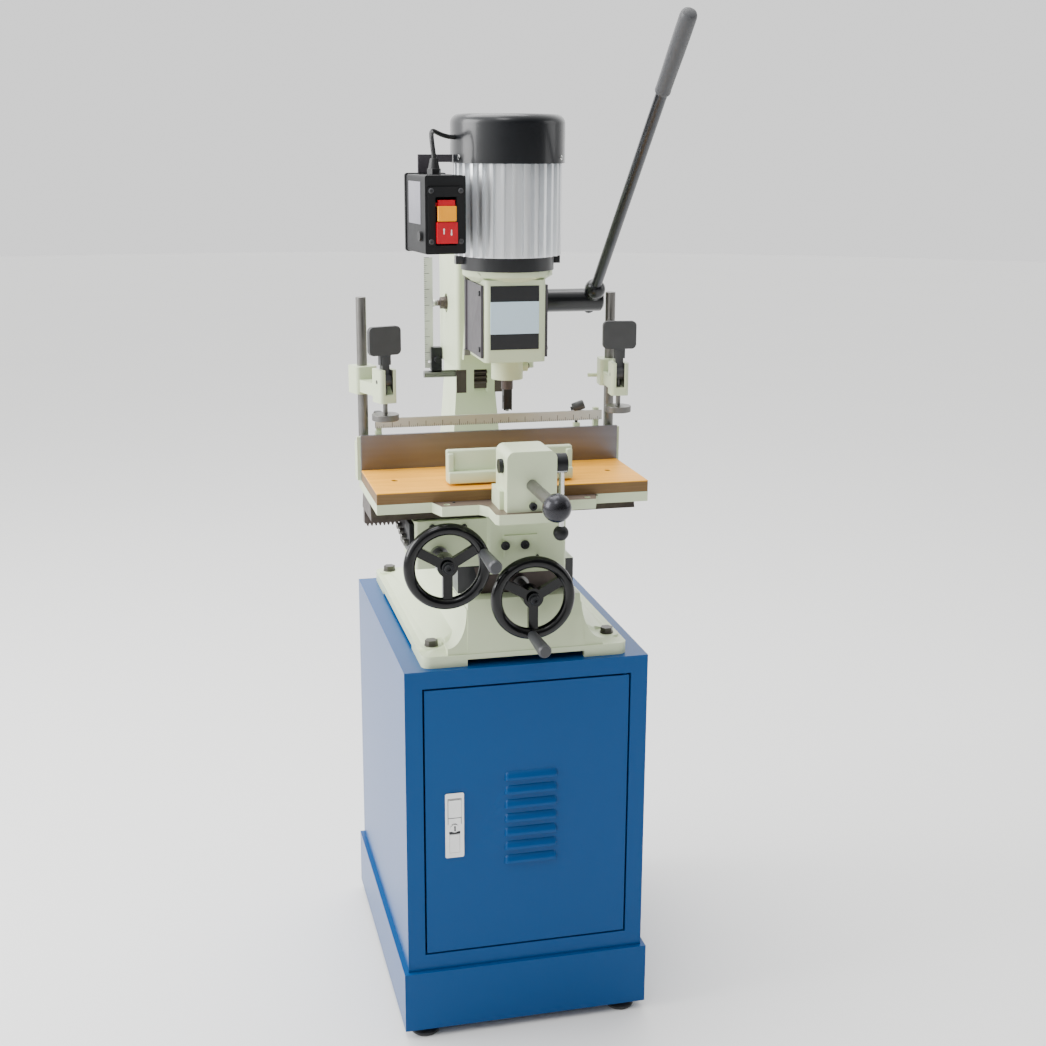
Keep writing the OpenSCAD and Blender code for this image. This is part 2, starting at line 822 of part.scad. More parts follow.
module base_hollow() {
    w = base_w / 2 - base_wall;
    p = pedestal_w / 2 - base_wall;
    round_block(-w, w, base_front + base_wall, base_back - base_wall, top_z - CUT, top_z + base_rim_h - base_wall, 8);
    taper([-p, p, base_front + base_wall + 4, base_back - base_wall - 18, top_z],
        [-p, p, base_front + base_wall + pedestal_slope, way_back - 30, channel_z - base_wall]);
}

module base_bolts() {
    head_z = top_z + base_rim_h;
    color(DARK) for (x = [-1, 1], y = [bolt_front_y, bolt_back_y]) translate([x * bolt_x, y, 0]) {
        translate([0, 0, head_z + washer_t]) hexagon(bolt_d * 1.7, bolt_head_h);
        translate([0, 0, top_z - sheet_t - 16]) cylinder(d = bolt_d, h = head_z + washer_t - top_z + sheet_t + 16 + MAGNET);
        translate([0, 0, head_z]) difference() {
            cylinder(d = bolt_d * 2.1, h = washer_t);
            translate([0, 0, -CUT]) cylinder(d = bolt_d, h = washer_t + 2 * CUT);
        }
        translate([0, 0, top_z - sheet_t - 9]) difference() {
            hexagon(bolt_d * 1.7, 9);
            translate([0, 0, -CUT]) cylinder(d = bolt_d, h = 9 + 2 * CUT);
        }
    }
    color(DARK) for (x = [-1, 1], y = [-1, 1]) translate([x * column_bolt_x, column_bolt_y(y), column_z]) {
        translate([0, 0, column_flange_t]) cylinder(d = column_bolt_d * 1.5, h = column_bolt_d);
        translate([0, 0, -26]) cylinder(d = column_bolt_d, h = 26 + column_flange_t + MAGNET);
    }
}

module column() {
    w = column_w / 2;
    f = column_foot_w / 2;
    color(GREEN) difference() {
        union() {
            round_block(-pedestal_w / 2, pedestal_w / 2, column_y - column_lean - 8, column_back,
                column_z, column_z + column_flange_t, 12);
            taper([-f, f, column_y - column_lean, column_back, column_z],
                [-w, w, column_y, column_back, guide_z]);
            round_block(-w, w, column_y, column_back, guide_z - 8, column_top_z, 6);
            block(-w, w, column_y - MAGNET, column_y + 20, guide_z - 8, column_top_z);
            translate([0, 0, guide_z]) linear_extrude(column_top_z - guide_z) dovetail(0);
        }
        block(-feed_rack_w / 2 - MAGNET, feed_rack_w / 2 + MAGNET, guide_front - CUT,
            guide_front + 1.25 * feed_module + feed_rack_t, guide_z - CUT, column_top_z + CUT);
        block(-w + 12, w - 12, column_y + 12, column_back - 12, column_z - CUT, column_top_z - 14);
        for (x = [-1, 1], y = [-1, 1])
            rod_z(column_bolt_d + 1, column_z - CUT, column_z + column_flange_t + CUT,
                x * column_bolt_x, column_bolt_y(y));
        rod_x(stop_pin_d - 4, -guide_w / 2 - CUT, -guide_w / 2 + 30, scale_y, pin_z);
    }
}

// The dovetail's plan: wide at its front, narrow at the column
module dovetail(gap) {
    w = guide_w / 2 + gap;
    polygon([[-w, guide_front - gap], [w, guide_front - gap], [w - guide_undercut, column_y + MAGNET],
        [-w + guide_undercut, column_y + MAGNET]]);
}

// The rack in the dovetail's groove, and the pin that the depth stop lands on
module column_fittings() {
    low = guide_z + 6;
    color(DARK) translate([-feed_rack_w / 2, guide_front, feed_z]) rotate([0, 90, 0]) rotate([0, 0, 180])
        linear_extrude(feed_rack_w) rack_outline(feed_module, low - feed_z, column_top_z - 6 - feed_z, feed_rack_t);
    color(STEEL) {
        rod_x(stop_pin_d, scale_x - scale_w / 2 - 2, -guide_w / 2 + 1, scale_y, pin_z);
        rod_x(stop_pin_d - 4, -guide_w / 2, -guide_w / 2 + 28, scale_y, pin_z);
    }
}

// ---------- Spindle head ----------

module head_casting() {
    c = carriage_w / 2;
    color(GREEN) difference() {
        union() {
            round_block(-c, c, -carriage_front, carriage_back, carriage_z, carriage_z + carriage_h, 7);
            round_block(-box_w / 2, box_w / 2, box_front_y, -carriage_front + 20, box_z, box_top_z, 8);
            taper([-box_w / 2 + 1, box_w / 2 - 1, box_front_y + 8, -carriage_front + 10, box_top_z + 1],
                [-flange_d / 2 + 14, flange_d / 2 - 14, box_front_y + 12, -carriage_front + 10, head_top_z - 2]);
            translate([0, -spindle_y, box_top_z - 6]) cylinder(d1 = box_w + 10, d2 = flange_d - 4, h = 10);
            rod_z(flange_d - 4, box_top_z + 4, head_top_z, 0, -spindle_y);
            rod_z(nose_d, nose_z, box_z + 10, 0, -spindle_y);
            taper([-c + 8, c - 8, -carriage_front - 12, -carriage_front + 8, box_z - 12],
                [-box_w / 2, box_w / 2, -carriage_front - 12, -carriage_front + 8, box_top_z - 20]);
            rod_x(16, 0, nose_d / 2 + 7, -spindle_y, chisel_screw_z);
        }
        head_cuts();
    }
}

module head_cuts() {
    block(-door_x - CUT, door_x + CUT, chamber_y0, chamber_y1, chamber_z0, chamber_z1);
    rod_z(chisel_shank_d + 2 * run_fit, nose_z - CUT, nose_z + shank_h + 6, 0, -spindle_y);
    rod_z(12, nose_z, chamber_z0 + CUT, 0, -spindle_y);
    rod_z(bearing_d + 4, chamber_z1 - CUT, head_top_z + CUT, 0, -spindle_y);
    translate([0, 0, carriage_z - CUT]) linear_extrude(carriage_h + 2 * CUT) {
        dovetail(slide_gap);
        translate([-guide_w / 2 - slide_gap + guide_undercut, column_y]) square([guide_w - 2 * guide_undercut + 2 * slide_gap, 20]);
    }
    block(-feed_rack_w / 2 - 1, feed_rack_w / 2 + 1, guide_front - 2 * feed_module, guide_front + CUT,
        carriage_z - CUT, carriage_z + carriage_h + CUT);
    rod_x(feed_shaft_d + 2 * run_fit, -carriage_w / 2 - CUT, carriage_w / 2 + CUT, feed_y, feed_z);
    rod_x(2 * feed_pitch_r + 2 * feed_module + 2, -feed_rack_w / 2 - 1, feed_rack_w / 2 + 1, feed_y, feed_z);
    rod_x(30, -carriage_w / 2 - CUT, -carriage_w / 2 + 8, feed_y, feed_z);
    rod_x(chisel_screw_d, 0, nose_d, -spindle_y, chisel_screw_z);
}

chisel_screw_d = 8;
chisel_screw_z = nose_z + 18;

// Hinge pins of the chuck doors, the chisel's lock screw and the scale's stand-off bolt
module head_fasteners() {
    color(DARK) for (s = [-1, 1]) {
        x = s * (door_x + chuck_pin_out);
        rod_z(chuck_door_pin_d, chuck_door_z - 5, chuck_door_z + chuck_door_h + 5, x, chuck_door_pin_y);
        for (z = [chuck_door_z - 9, chuck_door_z + chuck_door_h + part_gap])
            difference() {
                block(min(s * door_x, x + s * 4), max(s * door_x, x + s * 4),
                    chuck_door_pin_y - 5, chuck_door_pin_y + 5, z, z + 9 - part_gap);
                rod_z(chuck_door_pin_d, z - CUT, z + 10, x, chuck_door_pin_y);
            }
    }
    color(BLACK) rod_x(chisel_screw_d, chisel_shank_d / 2 + run_fit, nose_d / 2 + 10, -spindle_y, chisel_screw_z);
    color(STEEL) rod_x(9, scale_x + scale_w / 2 + 3, -carriage_w / 2, scale_y, feed_z - 5);
}

chuck_pin_out = 4.2;

module chuck_door(s) {
    x = s * (door_x + chuck_pin_out);
    face = s * (door_x + part_gap);
    color(DARK) difference() {
        union() {
            block(min(face, face + s * chuck_door_t), max(face, face + s * chuck_door_t),
                chuck_door_pin_y - chuck_door_w, chuck_door_pin_y - 1, chuck_door_z, chuck_door_z + chuck_door_h);
            rod_z(chuck_door_pin_d + 3.4, chuck_door_z, chuck_door_z + chuck_door_h, x, chuck_door_pin_y);
            for (z = [chuck_door_z + 12, chuck_door_z + chuck_door_h - 12])
                rod_x(8, min(face, face + s * (chuck_door_t + 2)), max(face, face + s * (chuck_door_t + 2)),
                    chuck_door_pin_y - chuck_door_w + 10, z);
        }
        rod_z(chuck_door_pin_d + 2 * run_fit, chuck_door_z - CUT, chuck_door_z + chuck_door_h + CUT,
            x, chuck_door_pin_y);
    }
}

module chuck_door_left() { chuck_door(-1); }
module chuck_door_right() { chuck_door(1); }

module mortise_chisel() {
    s = chisel_w / 2;
    color(BLACK) difference() {
        union() {
            rod_z(chisel_shank_d, nose_z, nose_z + shank_h, 0, -spindle_y);
            rod_z(chisel_shank_d - 1, shoulder_z, nose_z + CUT, 0, -spindle_y);
            block(-s, s, -spindle_y - s, -spindle_y + s, chisel_z, shoulder_z + CUT);
        }
        rod_z(auger_bore_d, chisel_z - CUT, nose_z + shank_h + CUT, 0, -spindle_y);
        translate([0, -spindle_y, chisel_z - MAGNET]) cylinder(d1 = 1.45 * chisel_w, d2 = auger_bore_d, h = 4);
        block(-s - CUT, 0, -spindle_y - 2.5, -spindle_y + 2.5, chisel_z + 12, shoulder_z - 10);
    }
}

module auger_bit() {
    shank = 6.5;
    color(STEEL) translate([0, -spindle_y, 0]) {
        translate([0, 0, chisel_z - 1]) cylinder(d1 = auger_d - 3, d2 = auger_d, h = 4);
        translate([0, 0, chisel_z + 3 - MAGNET])
            linear_extrude(chisel_blade_h + 4, twist = -720, slices = 36, segments = 6) polygon([for (a = [-20, 20, 90, 160, 200, 270])
                (abs(cos(a)) > 0.5 ? auger_d / 2 : auger_d / 5) * [cos(a), sin(a)]]);
        translate([0, 0, chisel_z + chisel_blade_h + 6]) cylinder(d = shank, h = chuck_z + 16 - chisel_z - chisel_blade_h);
    }
}

module drill_chuck() {
    color(STEEL) difference() {
        translate([0, -spindle_y, 0]) {
            translate([0, 0, chuck_z]) cylinder(d1 = 20, d2 = 34, h = 14);
            translate([0, 0, chuck_z + 14]) cylinder(d = 38, h = chuck_h - 14);
        }
        rod_z(6.5, chuck_z - CUT, chuck_z + 22, 0, -spindle_y);
        rod_z(shaft_d - 4, chuck_z + chuck_h - 18, chuck_z + chuck_h + CUT, 0, -spindle_y);
        for (a = [0, 60, 120]) translate([0, -spindle_y, chuck_z + 26]) rotate([90, 0, a])
            translate([0, 0, 14]) cylinder(d = 6, h = 10);
    }
}

// ---------- Motor ----------

module motor_flange() {
    r = flange_d / 2;
    color(BLACK) difference() {
        union() {
            rod_z(flange_d, flange_z, housing_z, 0, -spindle_y);
            for (a = [0, 90, 180]) translate([0, -spindle_y, flange_z + 8]) rotate(a)
                translate([r - 8, -7, 0]) cube([18, 14, flange_h - 8]);
        }
        rod_z(bearing_d, flange_z + 4, housing_z + CUT, 0, -spindle_y);
        rod_z(shaft_d + 6, flange_z - CUT, housing_z, 0, -spindle_y);
    }
}

module motor_housing() {
    wall = 4;
    end_t = bearing_h + 4;
    color(ALUMINIUM) translate([0, -spindle_y, housing_z]) difference() {
        union() {
            cylinder(d = barrel_d, h = housing_h);
            for (i = [0:fin_count - 1]) rotate(i * 360 / fin_count)
                translate([barrel_d / 2 - 2, -fin_t / 2, 1]) cube([(fin_d - barrel_d) / 2 + 2, fin_t, housing_h - 2]);
        }
        translate([0, 0, -CUT]) cylinder(d = barrel_d - 2 * wall, h = housing_h - end_t + CUT);
        translate([0, 0, housing_h - end_t - CUT]) cylinder(d = bearing_d, h = bearing_h + CUT);
        cylinder(d = shaft_d + 6, h = housing_h + CUT);
    }
}

// Two ball bearings as closed rings, and the wound stator
module motor_inner_parts() {
    wall = 4;
    for (z = [flange_z + 4, housing_top_z - 4 - bearing_h])
        color(STEEL) ring_z(bearing_d, shaft_d + 2 * run_fit, z, z + bearing_h, 0, -spindle_y);
    color("#8a5a34") ring_z(barrel_d - 2 * wall, rotor_d + 3, housing_z + 14, housing_z + 14 + stator_h, 0, -spindle_y);
}

module motor_shaft() {
    color(STEEL) {
        rod_z(shaft_d, chuck_z + chuck_h, fan_z + 26, 0, -spindle_y);
        rod_z(shaft_d - 4, chuck_z + chuck_h - 16, chuck_z + chuck_h + CUT, 0, -spindle_y);
        rod_z(rotor_d, housing_z + 16, housing_z + 12 + stator_h, 0, -spindle_y);
    }
}

module cooling_fan() {
    color(BLACK) difference() {
        translate([0, -spindle_y, fan_z]) {
            cylinder(d = 40, h = 24);
            cylinder(d = 130, h = 3);
            for (a = [0:45:315]) rotate(a) translate([18, -1.5, 0]) cube([46, 3, 24]);
        }
        rod_z(shaft_d + 2 * MAGNET, fan_z - CUT, fan_z + 25, 0, -spindle_y);
    }
}

module fan_cover() {
    r = cover_d / 2;
    color(BLACK) translate([0, -spindle_y, cover_z]) difference() {
        rotate_extrude() difference() {
            cover_profile(r, cover_h, cover_round);
            cover_profile(r - cover_t, cover_h - cover_t, cover_round - cover_t);
        }
        for (ring = [26, 42, 58], a = [0:30:330]) rotate(a + ring)
            translate([ring - 5, -ring * 0.17, cover_h - 2 * cover_t]) cube([10, ring * 0.34, 4 * cover_t]);
        rotate(180 + LEAD_ANGLE) translate([r - 10, 0, LEAD_UP]) rotate([0, 90, 0]) cylinder(d = lead_d + 0.3, h = 20);
    }
    color(BLACK) for (k = [0:2]) translate([0, -spindle_y, cover_z])
        rotate((round(fin_count / 12) + k * round(fin_count / 3)) * 360 / fin_count)
            translate([fin_d / 2, -fin_t / 2, 0]) cube([r - cover_t / 2 - fin_d / 2, fin_t, cover_lap]);
}

module cover_profile(r, h, edge) {
    square([r, h - edge]);
    square([r - edge, h]);
    translate([r - edge, h - edge]) intersection() {
        circle(edge);
        square(edge);
    }
}

// ---------- Feed lever ----------

module pinion_shaft() {
    c = carriage_w / 2;
    color(STEEL) {
        rod_x(feed_shaft_d, -c - 4, hub_x + 60, feed_y, feed_z);
        translate([-feed_rack_w / 2, feed_y, feed_z]) rotate([0, 90, 0]) rotate([0, 0, 90])
            pinion(feed_module, feed_teeth, feed_rack_w, 0);
        rod_x(9, -c - 14, -c, feed_y, feed_z);
        translate([-c - 10, feed_y, feed_z]) rotate([0, 90, 0]) hexagon(16, 6 + MAGNET);
    }
}

module lever_hub() {
    color(BLACK) difference() {
        union() {
            rod_x(hub_d, hub_x, hub_end_x - 3, feed_y, feed_z);
            translate([hub_end_x - 3, feed_y, feed_z]) rotate([0, 90, 0]) cylinder(d1 = hub_d, d2 = hub_d - 6, h = 3);
            lever_frame() translate([0, 0, hub_d / 2 - 3]) cylinder(d = 29, h = 20);
        }
        rod_x(feed_shaft_d + 2 * MAGNET, hub_x - CUT, hub_x + 61, feed_y, feed_z);
        lever_frame() translate([0, 0, -hub_d]) cylinder(d = lever_d + 2 * MAGNET, h = 2 * hub_d);
    }
}

// The lever's own axis, up from the pivot and leaning forward
module lever_frame() {
    translate([lever_x, feed_y, feed_z]) rotate([lever_lean, 0, 0]) children();
}

module feed_lever() {
    color(DARK) lever_frame() {
        translate([0, 0, -hub_d / 2 - 4]) cylinder(d = lever_d, h = lever_len - 8 + hub_d / 2 + 4);
        translate([0, 0, -hub_d / 2 - 10]) cylinder(d1 = lever_d - 5, d2 = lever_d + 2, h = 6 + MAGNET);
    }
}

module lever_grip() {
    color(BLACK) lever_frame() difference() {
        translate([0, 0, lever_len - grip_len]) cylinder(d = grip_d, h = grip_len);
        translate([0, 0, lever_len - grip_len - CUT]) cylinder(d = lever_d + 2 * MAGNET, h = grip_len + 2 * CUT);
    }
}

// ---------- Switch ----------

// The box's own frame: origin at the middle of its front face's lower edge
module switch_frame() {
    translate([switch_x, switch_y, switch_z]) rotate([0, 0, switch_turn]) children();
}

module switch_bracket() {
    back = switch_d;
    end = (-cover_d / 2 - part_gap - switch_x + back * sin(switch_turn)) / cos(switch_turn);
    color(STEEL) switch_frame() {
        block(-10, 10, back, back + bracket_t, 30, cover_z + 2 - switch_z);
        block(-10, end, back, back + bracket_t, cover_z + 1 - switch_z, cover_z + 12 - switch_z);
    }
}

module switch_box() {
    w = switch_w / 2;
    color(DARK) switch_frame() difference() {
        union() {
            round_block_y(-w, w, 0, switch_d, 0, switch_h, 3);
            round_block_y(-w - 1.5, w + 1.5, switch_d - 5, switch_d, -1.5, switch_h + 1.5, 4);
            difference() {
                round_block_y(-26, 26, -2.5, 1, 12, 92, 4);
                block(-14, 14, -4, 2, 14, 76);
            }
        }
        block(-w + switch_wall, w - switch_wall, switch_wall + 10, switch_d - switch_wall, switch_wall, switch_h - switch_wall);
        block(-paddle_w / 2 - part_gap, paddle_w / 2 + part_gap, -4, switch_wall + 11, 12, 78);
        rod_z(12, switch_h - switch_wall - CUT, switch_h + CUT, 0, gland_back);
        rod_z(12.5, -CUT, switch_wall + CUT, 0, gland_back + 20);
        rod_x(10, -w - CUT, -w + switch_wall + CUT, 20, 24);
    }
}

// The red paddle turns on a pin near its top; its lower flap lifts outwards
module switch_paddle() {
    w = paddle_w / 2 - part_gap;
    color("#c8102e") switch_frame() difference() {
        union() {
            block(-w, w, -9, 3, 15, 44);
            block(-w + 3, w - 3, -6, 3, 44 - MAGNET, 74);
            rod_x(6, -w, w, 4, 68);
        }
        block(-w - CUT, w + CUT, -10, -4, 45, 66);
        block(-5, 5, -5, 4, 50, 61);
    }
}

module switch_key() {
    w = paddle_w / 2 - 1.5;
    color("#f2b705") switch_frame() {
        block(-w, w, -8.5, -4 - slide_gap, 45 + slide_gap, 66 - slide_gap);
        block(-5 + slide_gap, 5 - slide_gap, -5, 2, 50 + slide_gap, 61 - slide_gap);
    }
}

// The lead's gland on top of the box and the fuse holder on its left side
module switch_fittings() {
    w = switch_w / 2;
    color(BLACK) switch_frame() {
        difference() {
            union() {
                translate([0, gland_back, switch_h]) hexagon(gland_d * 0.85, 8);
                translate([0, gland_back, switch_h + 8 - MAGNET]) cylinder(d1 = gland_d * 0.8, d2 = lead_d + 4, h = gland_h - 8);
                rod_z(12 - 2 * MAGNET, switch_h - switch_wall - 3, switch_h + MAGNET, 0, gland_back);
            }
            rod_z(lead_d, switch_h - switch_wall - 4, switch_h + gland_h + CUT, 0, gland_back);
        }
        rod_x(14, -w - 4, -w, 20, 24);
        rod_x(10 - 2 * MAGNET, -w - MAGNET, -w + 12, 20, 24);
    }
}

// Route of the motor lead from inside the gland to the motor, in the box's turned place
LEAD_SIDES = 10;
LEAD_TOP = 55;
LEAD_IN = 38;
LEAD_UP = 36;
LEAD_ANGLE = 12;
lead_start = [switch_x - gland_back * sin(switch_turn), switch_y + gland_back * cos(switch_turn),
    switch_z + switch_h - switch_wall - 3];
lead_out = [-cos(LEAD_ANGLE), -sin(LEAD_ANGLE), 0];
lead_end = [0, -spindle_y, cover_z + LEAD_UP] + (cover_d / 2 - 3) * lead_out;
lead_rise = switch_wall + 3 + gland_h + 4;

function bezier(a, b, c, d, t) = pow(1 - t, 3) * a + 3 * t * pow(1 - t, 2) * b
    + 3 * t * t * (1 - t) * c + pow(t, 3) * d;
function lead_point(t) = bezier(lead_start + [0, 0, lead_rise], lead_start + [-8, -2, lead_rise + LEAD_TOP],
    lead_end + LEAD_IN * lead_out, lead_end + 5 * lead_out, t);
LEAD_ROUTE = concat([lead_start], [for (i = [0:14]) lead_point(i / 14)], [lead_end]);

function unit(v) = v / norm(v);
function tangent_at(route, i) = unit(route[min(i + 1, len(route) - 1)] - route[max(i - 1, 0)]);
function side_at(t) = unit(cross(t, [0.2, 1, 0.1]));

module swept_tube(route, d) {
    rings = [for (i = [0:len(route) - 1])
        let (t = tangent_at(route, i), u = side_at(t), v = cross(t, u))
        [for (k = [0:LEAD_SIDES - 1]) route[i] + d / 2 * (cos(k * 360 / LEAD_SIDES) * u + sin(k * 360 / LEAD_SIDES) * v)]];
    last = (len(route) - 1) * LEAD_SIDES;
    sides = [for (i = [0:len(route) - 2], k = [0:LEAD_SIDES - 1])
        let (a = i * LEAD_SIDES, n = (k + 1) % LEAD_SIDES)
        each [[a + k, a + LEAD_SIDES + k, a + LEAD_SIDES + n], [a + k, a + LEAD_SIDES + n, a + n]]];
    ends = [for (k = [1:LEAD_SIDES - 2]) each [[0, k, k + 1], [last, last + k + 1, last + k]]];
    polyhedron([for (ring = rings) each ring], concat(sides, ends));
}

module motor_lead() {
    color(BLACK) swept_tube(LEAD_ROUTE, lead_d - 0.4);
}

// ---------- Depth stop ----------

module depth_scale() {
    low = stop_z + 4;
    color(STEEL) difference() {
        block(scale_x - scale_w / 2, scale_x + scale_w / 2, scale_y - scale_t / 2, scale_y + scale_t / 2,
            low, low + scale_h);
        rod_y(4, scale_y - CUT - scale_t, scale_y + CUT + scale_t, scale_x, low + 10);
    }
    color(STEEL) rod_x(12, scale_x + scale_w / 2 - MAGNET, scale_x + scale_w / 2 + 3, scale_y, feed_z - 5);
}

// The block is clamped on the scale's right edge and lands on the stop pin
module depth_stop_block() {
    edge = scale_x + scale_w / 2;
    color(BLACK) difference() {
        block(edge - 4, -carriage_w / 2 - 1, scale_y - block_d / 2, scale_y + block_d / 2, stop_z, stop_z + block_h);
        block(edge - 5, edge + slide_gap, scale_y - scale_t / 2 - slide_gap, scale_y + scale_t / 2 + slide_gap,
            stop_z - CUT, stop_z + block_h + CUT);
    }
    color(BLACK) rod_y(10, scale_y - block_d / 2 - 7, scale_y - block_d / 2, edge + 5, stop_z + block_h / 2);
}

// ---------- Saddle and its drives ----------

module saddle() {
    w = saddle_w / 2;
    lip = saddle_lip_w / 2;
    color(GREEN) difference() {
        union() {
            block(-lip, lip - 14, way_front - 2, saddle_back, way_z + 3, way_top_z + 6);
            round_block(-w, w, saddle_front, saddle_back, way_top_z + slide_gap, rail_z - 39, 6);
            round_block(-w, w, saddle_front, slot_back, way_top_z + slide_gap, cast_z - 4, 6);
            block(-saddle_pad_w / 2 - 10, saddle_pad_w / 2 - 10, saddle_front - 3, saddle_front + 5, way_top_z + 24, way_top_z + 58);
            round_block(wing_left, -w + 8, saddle_front + 4, slot_back, rail_z - wing_h, rail_z - 3, 6);
        }
        translate([0, saddle_back + CUT, 0]) rotate([90, 0, 0]) linear_extrude(saddle_back - saddle_front + 2 * CUT)
            polygon([[-way_w / 2 - slide_gap, way_z], [way_w / 2 + slide_gap, way_z],
                [way_w / 2 + way_flare + slide_gap, way_top_z + slide_gap],
                [-way_w / 2 - way_flare - slide_gap, way_top_z + slide_gap]]);
        translate([-200, 0, 0]) rotate([90, 0, 90]) linear_extrude(400) rail_profile(slide_gap);
        rod_y(table_shaft_d + 2 * run_fit, saddle_front - CUT, slot_back + CUT, table_shaft_x, table_shaft_z);
        for (x = [-32, 0]) rod_y(9, saddle_front - 4, saddle_front + 4, x, way_top_z + 42);
    }
    color(GREEN) difference() {
        block(-screw_nut_w / 2, screw_nut_w / 2, saddle_front + 70, saddle_front + 110, channel_z + 0.5,
            way_top_z + slide_gap + MAGNET);
        rod_y(screw_d + 2 * run_fit, saddle_front, saddle_back, 0, screw_z);
    }
    color(BLACK) for (x = [-32, 0]) rod_y(9 - MAGNET, saddle_front - 5, saddle_front + 4, x, way_top_z + 42);
}

saddle_pad_w = 50;
screw_nut_w = 34;

// The table's rail seen along X, wide at its foot
module rail_profile(gap) {
    polygon([[rail_mid_y - rail_top_w / 2 - rail_flare - gap, rail_z - gap],
        [rail_mid_y + rail_top_w / 2 + rail_flare + gap, rail_z - gap],
        [rail_mid_y + rail_top_w / 2 + gap, cast_z + MAGNET], [rail_mid_y - rail_top_w / 2 - gap, cast_z + MAGNET]]);
}

module cross_screw() {
    color(STEEL) {
        rod_y(screw_journal_d, cross_wheel_y - 4, way_front + 16, 0, screw_z);
        rod_y(screw_d, way_front + 14 + part_gap, way_front + 14 + saddle_travel + 130, 0, screw_z);
    }
    color(DARK) rod_y(24, way_front - 7, way_front - part_gap, 0, screw_z);
}

// A handwheel in the XZ plane with its hub on the axis; the grip sits at grip_angle
module handwheel(bore, grip_angle) {
    r = wheel_d / 2;
    difference() {
        union() {
            rotate([90, 0, 0]) rotate_extrude($fn = 64) translate([r - wheel_rim / 2, 0]) circle(d = wheel_rim);
            for (a = [-90, 30, 150]) rotate([0, -a, 0]) translate([wheel_hub_d / 2 - 4, -4, -7])
                cube([r - wheel_rim - wheel_hub_d / 2 + 8, 9, 14]);
            rod_y(wheel_hub_d, -4, 24, 0, 0);
            rotate([0, -grip_angle, 0]) rod_y(14, -wheel_rim / 2 - 1, 2, r - wheel_rim / 2, 0);
        }
        rod_y(bore, -5, 25, 0, 0);
        rotate([0, -grip_angle, 0]) rod_y(6, -wheel_rim / 2 - 2, 4, r - wheel_rim / 2, 0);
    }
}

// The grip turns on its own bolt; it swells towards its free end
module wheel_grip(grip_angle) {
    r = wheel_d / 2 - wheel_rim / 2;
    y0 = -wheel_rim / 2 - 1 - part_gap;
    color(GREY) rotate([0, -grip_angle, 0]) {
        translate([r, y0, 0]) rotate([90, 0, 0]) {
            cylinder(d1 = wheel_grip_d - 5, d2 = wheel_grip_d, h = wheel_grip_h - 4);
            translate([0, 0, wheel_grip_h - 4]) cylinder(d1 = wheel_grip_d, d2 = wheel_grip_d - 5, h = 4);
        }
        rod_y(6 - 2 * run_fit, y0 - MAGNET, 3, r, 0);
    }
}

cross_grip_angle = -93;
table_grip_angle = 20;

module cross_handwheel() {
    color(BLACK) translate([0, cross_wheel_y, screw_z]) handwheel(screw_journal_d + 2 * MAGNET, cross_grip_angle);
}

module cross_grip() {
    translate([0, cross_wheel_y, screw_z]) wheel_grip(cross_grip_angle);
}

module table_shaft() {
    pinion_y = table_rack_y + 1;
    color(STEEL) {
        rod_y(table_shaft_d, table_wheel_y - 4, pinion_y + table_rack_t, table_shaft_x, table_shaft_z);
        translate([table_shaft_x, pinion_y + table_rack_t - 1, table_shaft_z]) rotate([90, 0, 0])
            rotate([0, 0, 90]) pinion(table_module, table_teeth, table_rack_t - 2, rack_phase);
    }
    color(DARK) rod_y(26, saddle_front - 5, saddle_front + 4 - part_gap, table_shaft_x, table_shaft_z);
}

module table_handwheel() {
    color(BLACK) translate([table_shaft_x, table_wheel_y, table_shaft_z])
        handwheel(table_shaft_d + 2 * MAGNET, table_grip_angle);
}

module table_grip() {
    translate([table_shaft_x, table_wheel_y, table_shaft_z]) wheel_grip(table_grip_angle);
}

// ---------- Table ----------

rack_phase = 0;
rack_from = table_x - table_w / 2 + 4;
rack_to = table_shaft_x + table_travel + 20;

module table_casting() {
    w = table_w / 2;
    n = nose_w / 2;
    l = ledge_w / 2;
    nose_y = wood_front - nose_out;
    ledge_y = wood_front - ledge_out;
    color(GREEN) difference() {
        union() {
            translate([table_x, 0, cast_z]) linear_extrude(cast_t) polygon([[-w, cast_back], [-w, wood_front],
                [-l - 9, wood_front], [-l, ledge_y], [-n - 10, ledge_y], [-n, ledge_y - 14], [-n, nose_y + 4], [-n + 4, nose_y],
                [n - 4, nose_y], [n, nose_y + 4], [n, ledge_y - 14], [n + 10, ledge_y], [l, ledge_y], [l + 9, wood_front],
                [w, wood_front], [w, cast_back]]);
            translate([table_x - w, 0, 0]) rotate([90, 0, 90]) linear_extrude(table_w) rail_profile(0);
            block(rack_from, rack_to, table_rack_y, table_rack_y + table_rack_t, table_rack_z + table_module + table_rack_body, cast_z + MAGNET);
        }
        for (x = [-1, 1]) rod_z(9, cast_z - CUT, wood_z + CUT, table_x + x * (l - 9), wood_front - 16);
    }
}

module table_rack() {
    color(STEEL) translate([table_shaft_x, table_rack_y + table_rack_t, table_rack_z]) rotate([90, 0, 0])
        mirror([0, 1, 0]) linear_extrude(table_rack_t)
            rack_outline(table_module, rack_from - table_shaft_x, rack_to - table_shaft_x, table_rack_body - 0.25 * table_module);
}

module wood_table() {
    w = table_w / 2;
    color(WOOD) difference() {
        block(table_x - w, table_x + w, wood_front, fence_y - part_gap, wood_z, table_z);
        for (x = [-1, 1]) rod_z(10, table_z - 6, table_z + CUT, table_x + x * 160, fence_y - table_d / 2);
    }
}

// ---------- Fence ----------

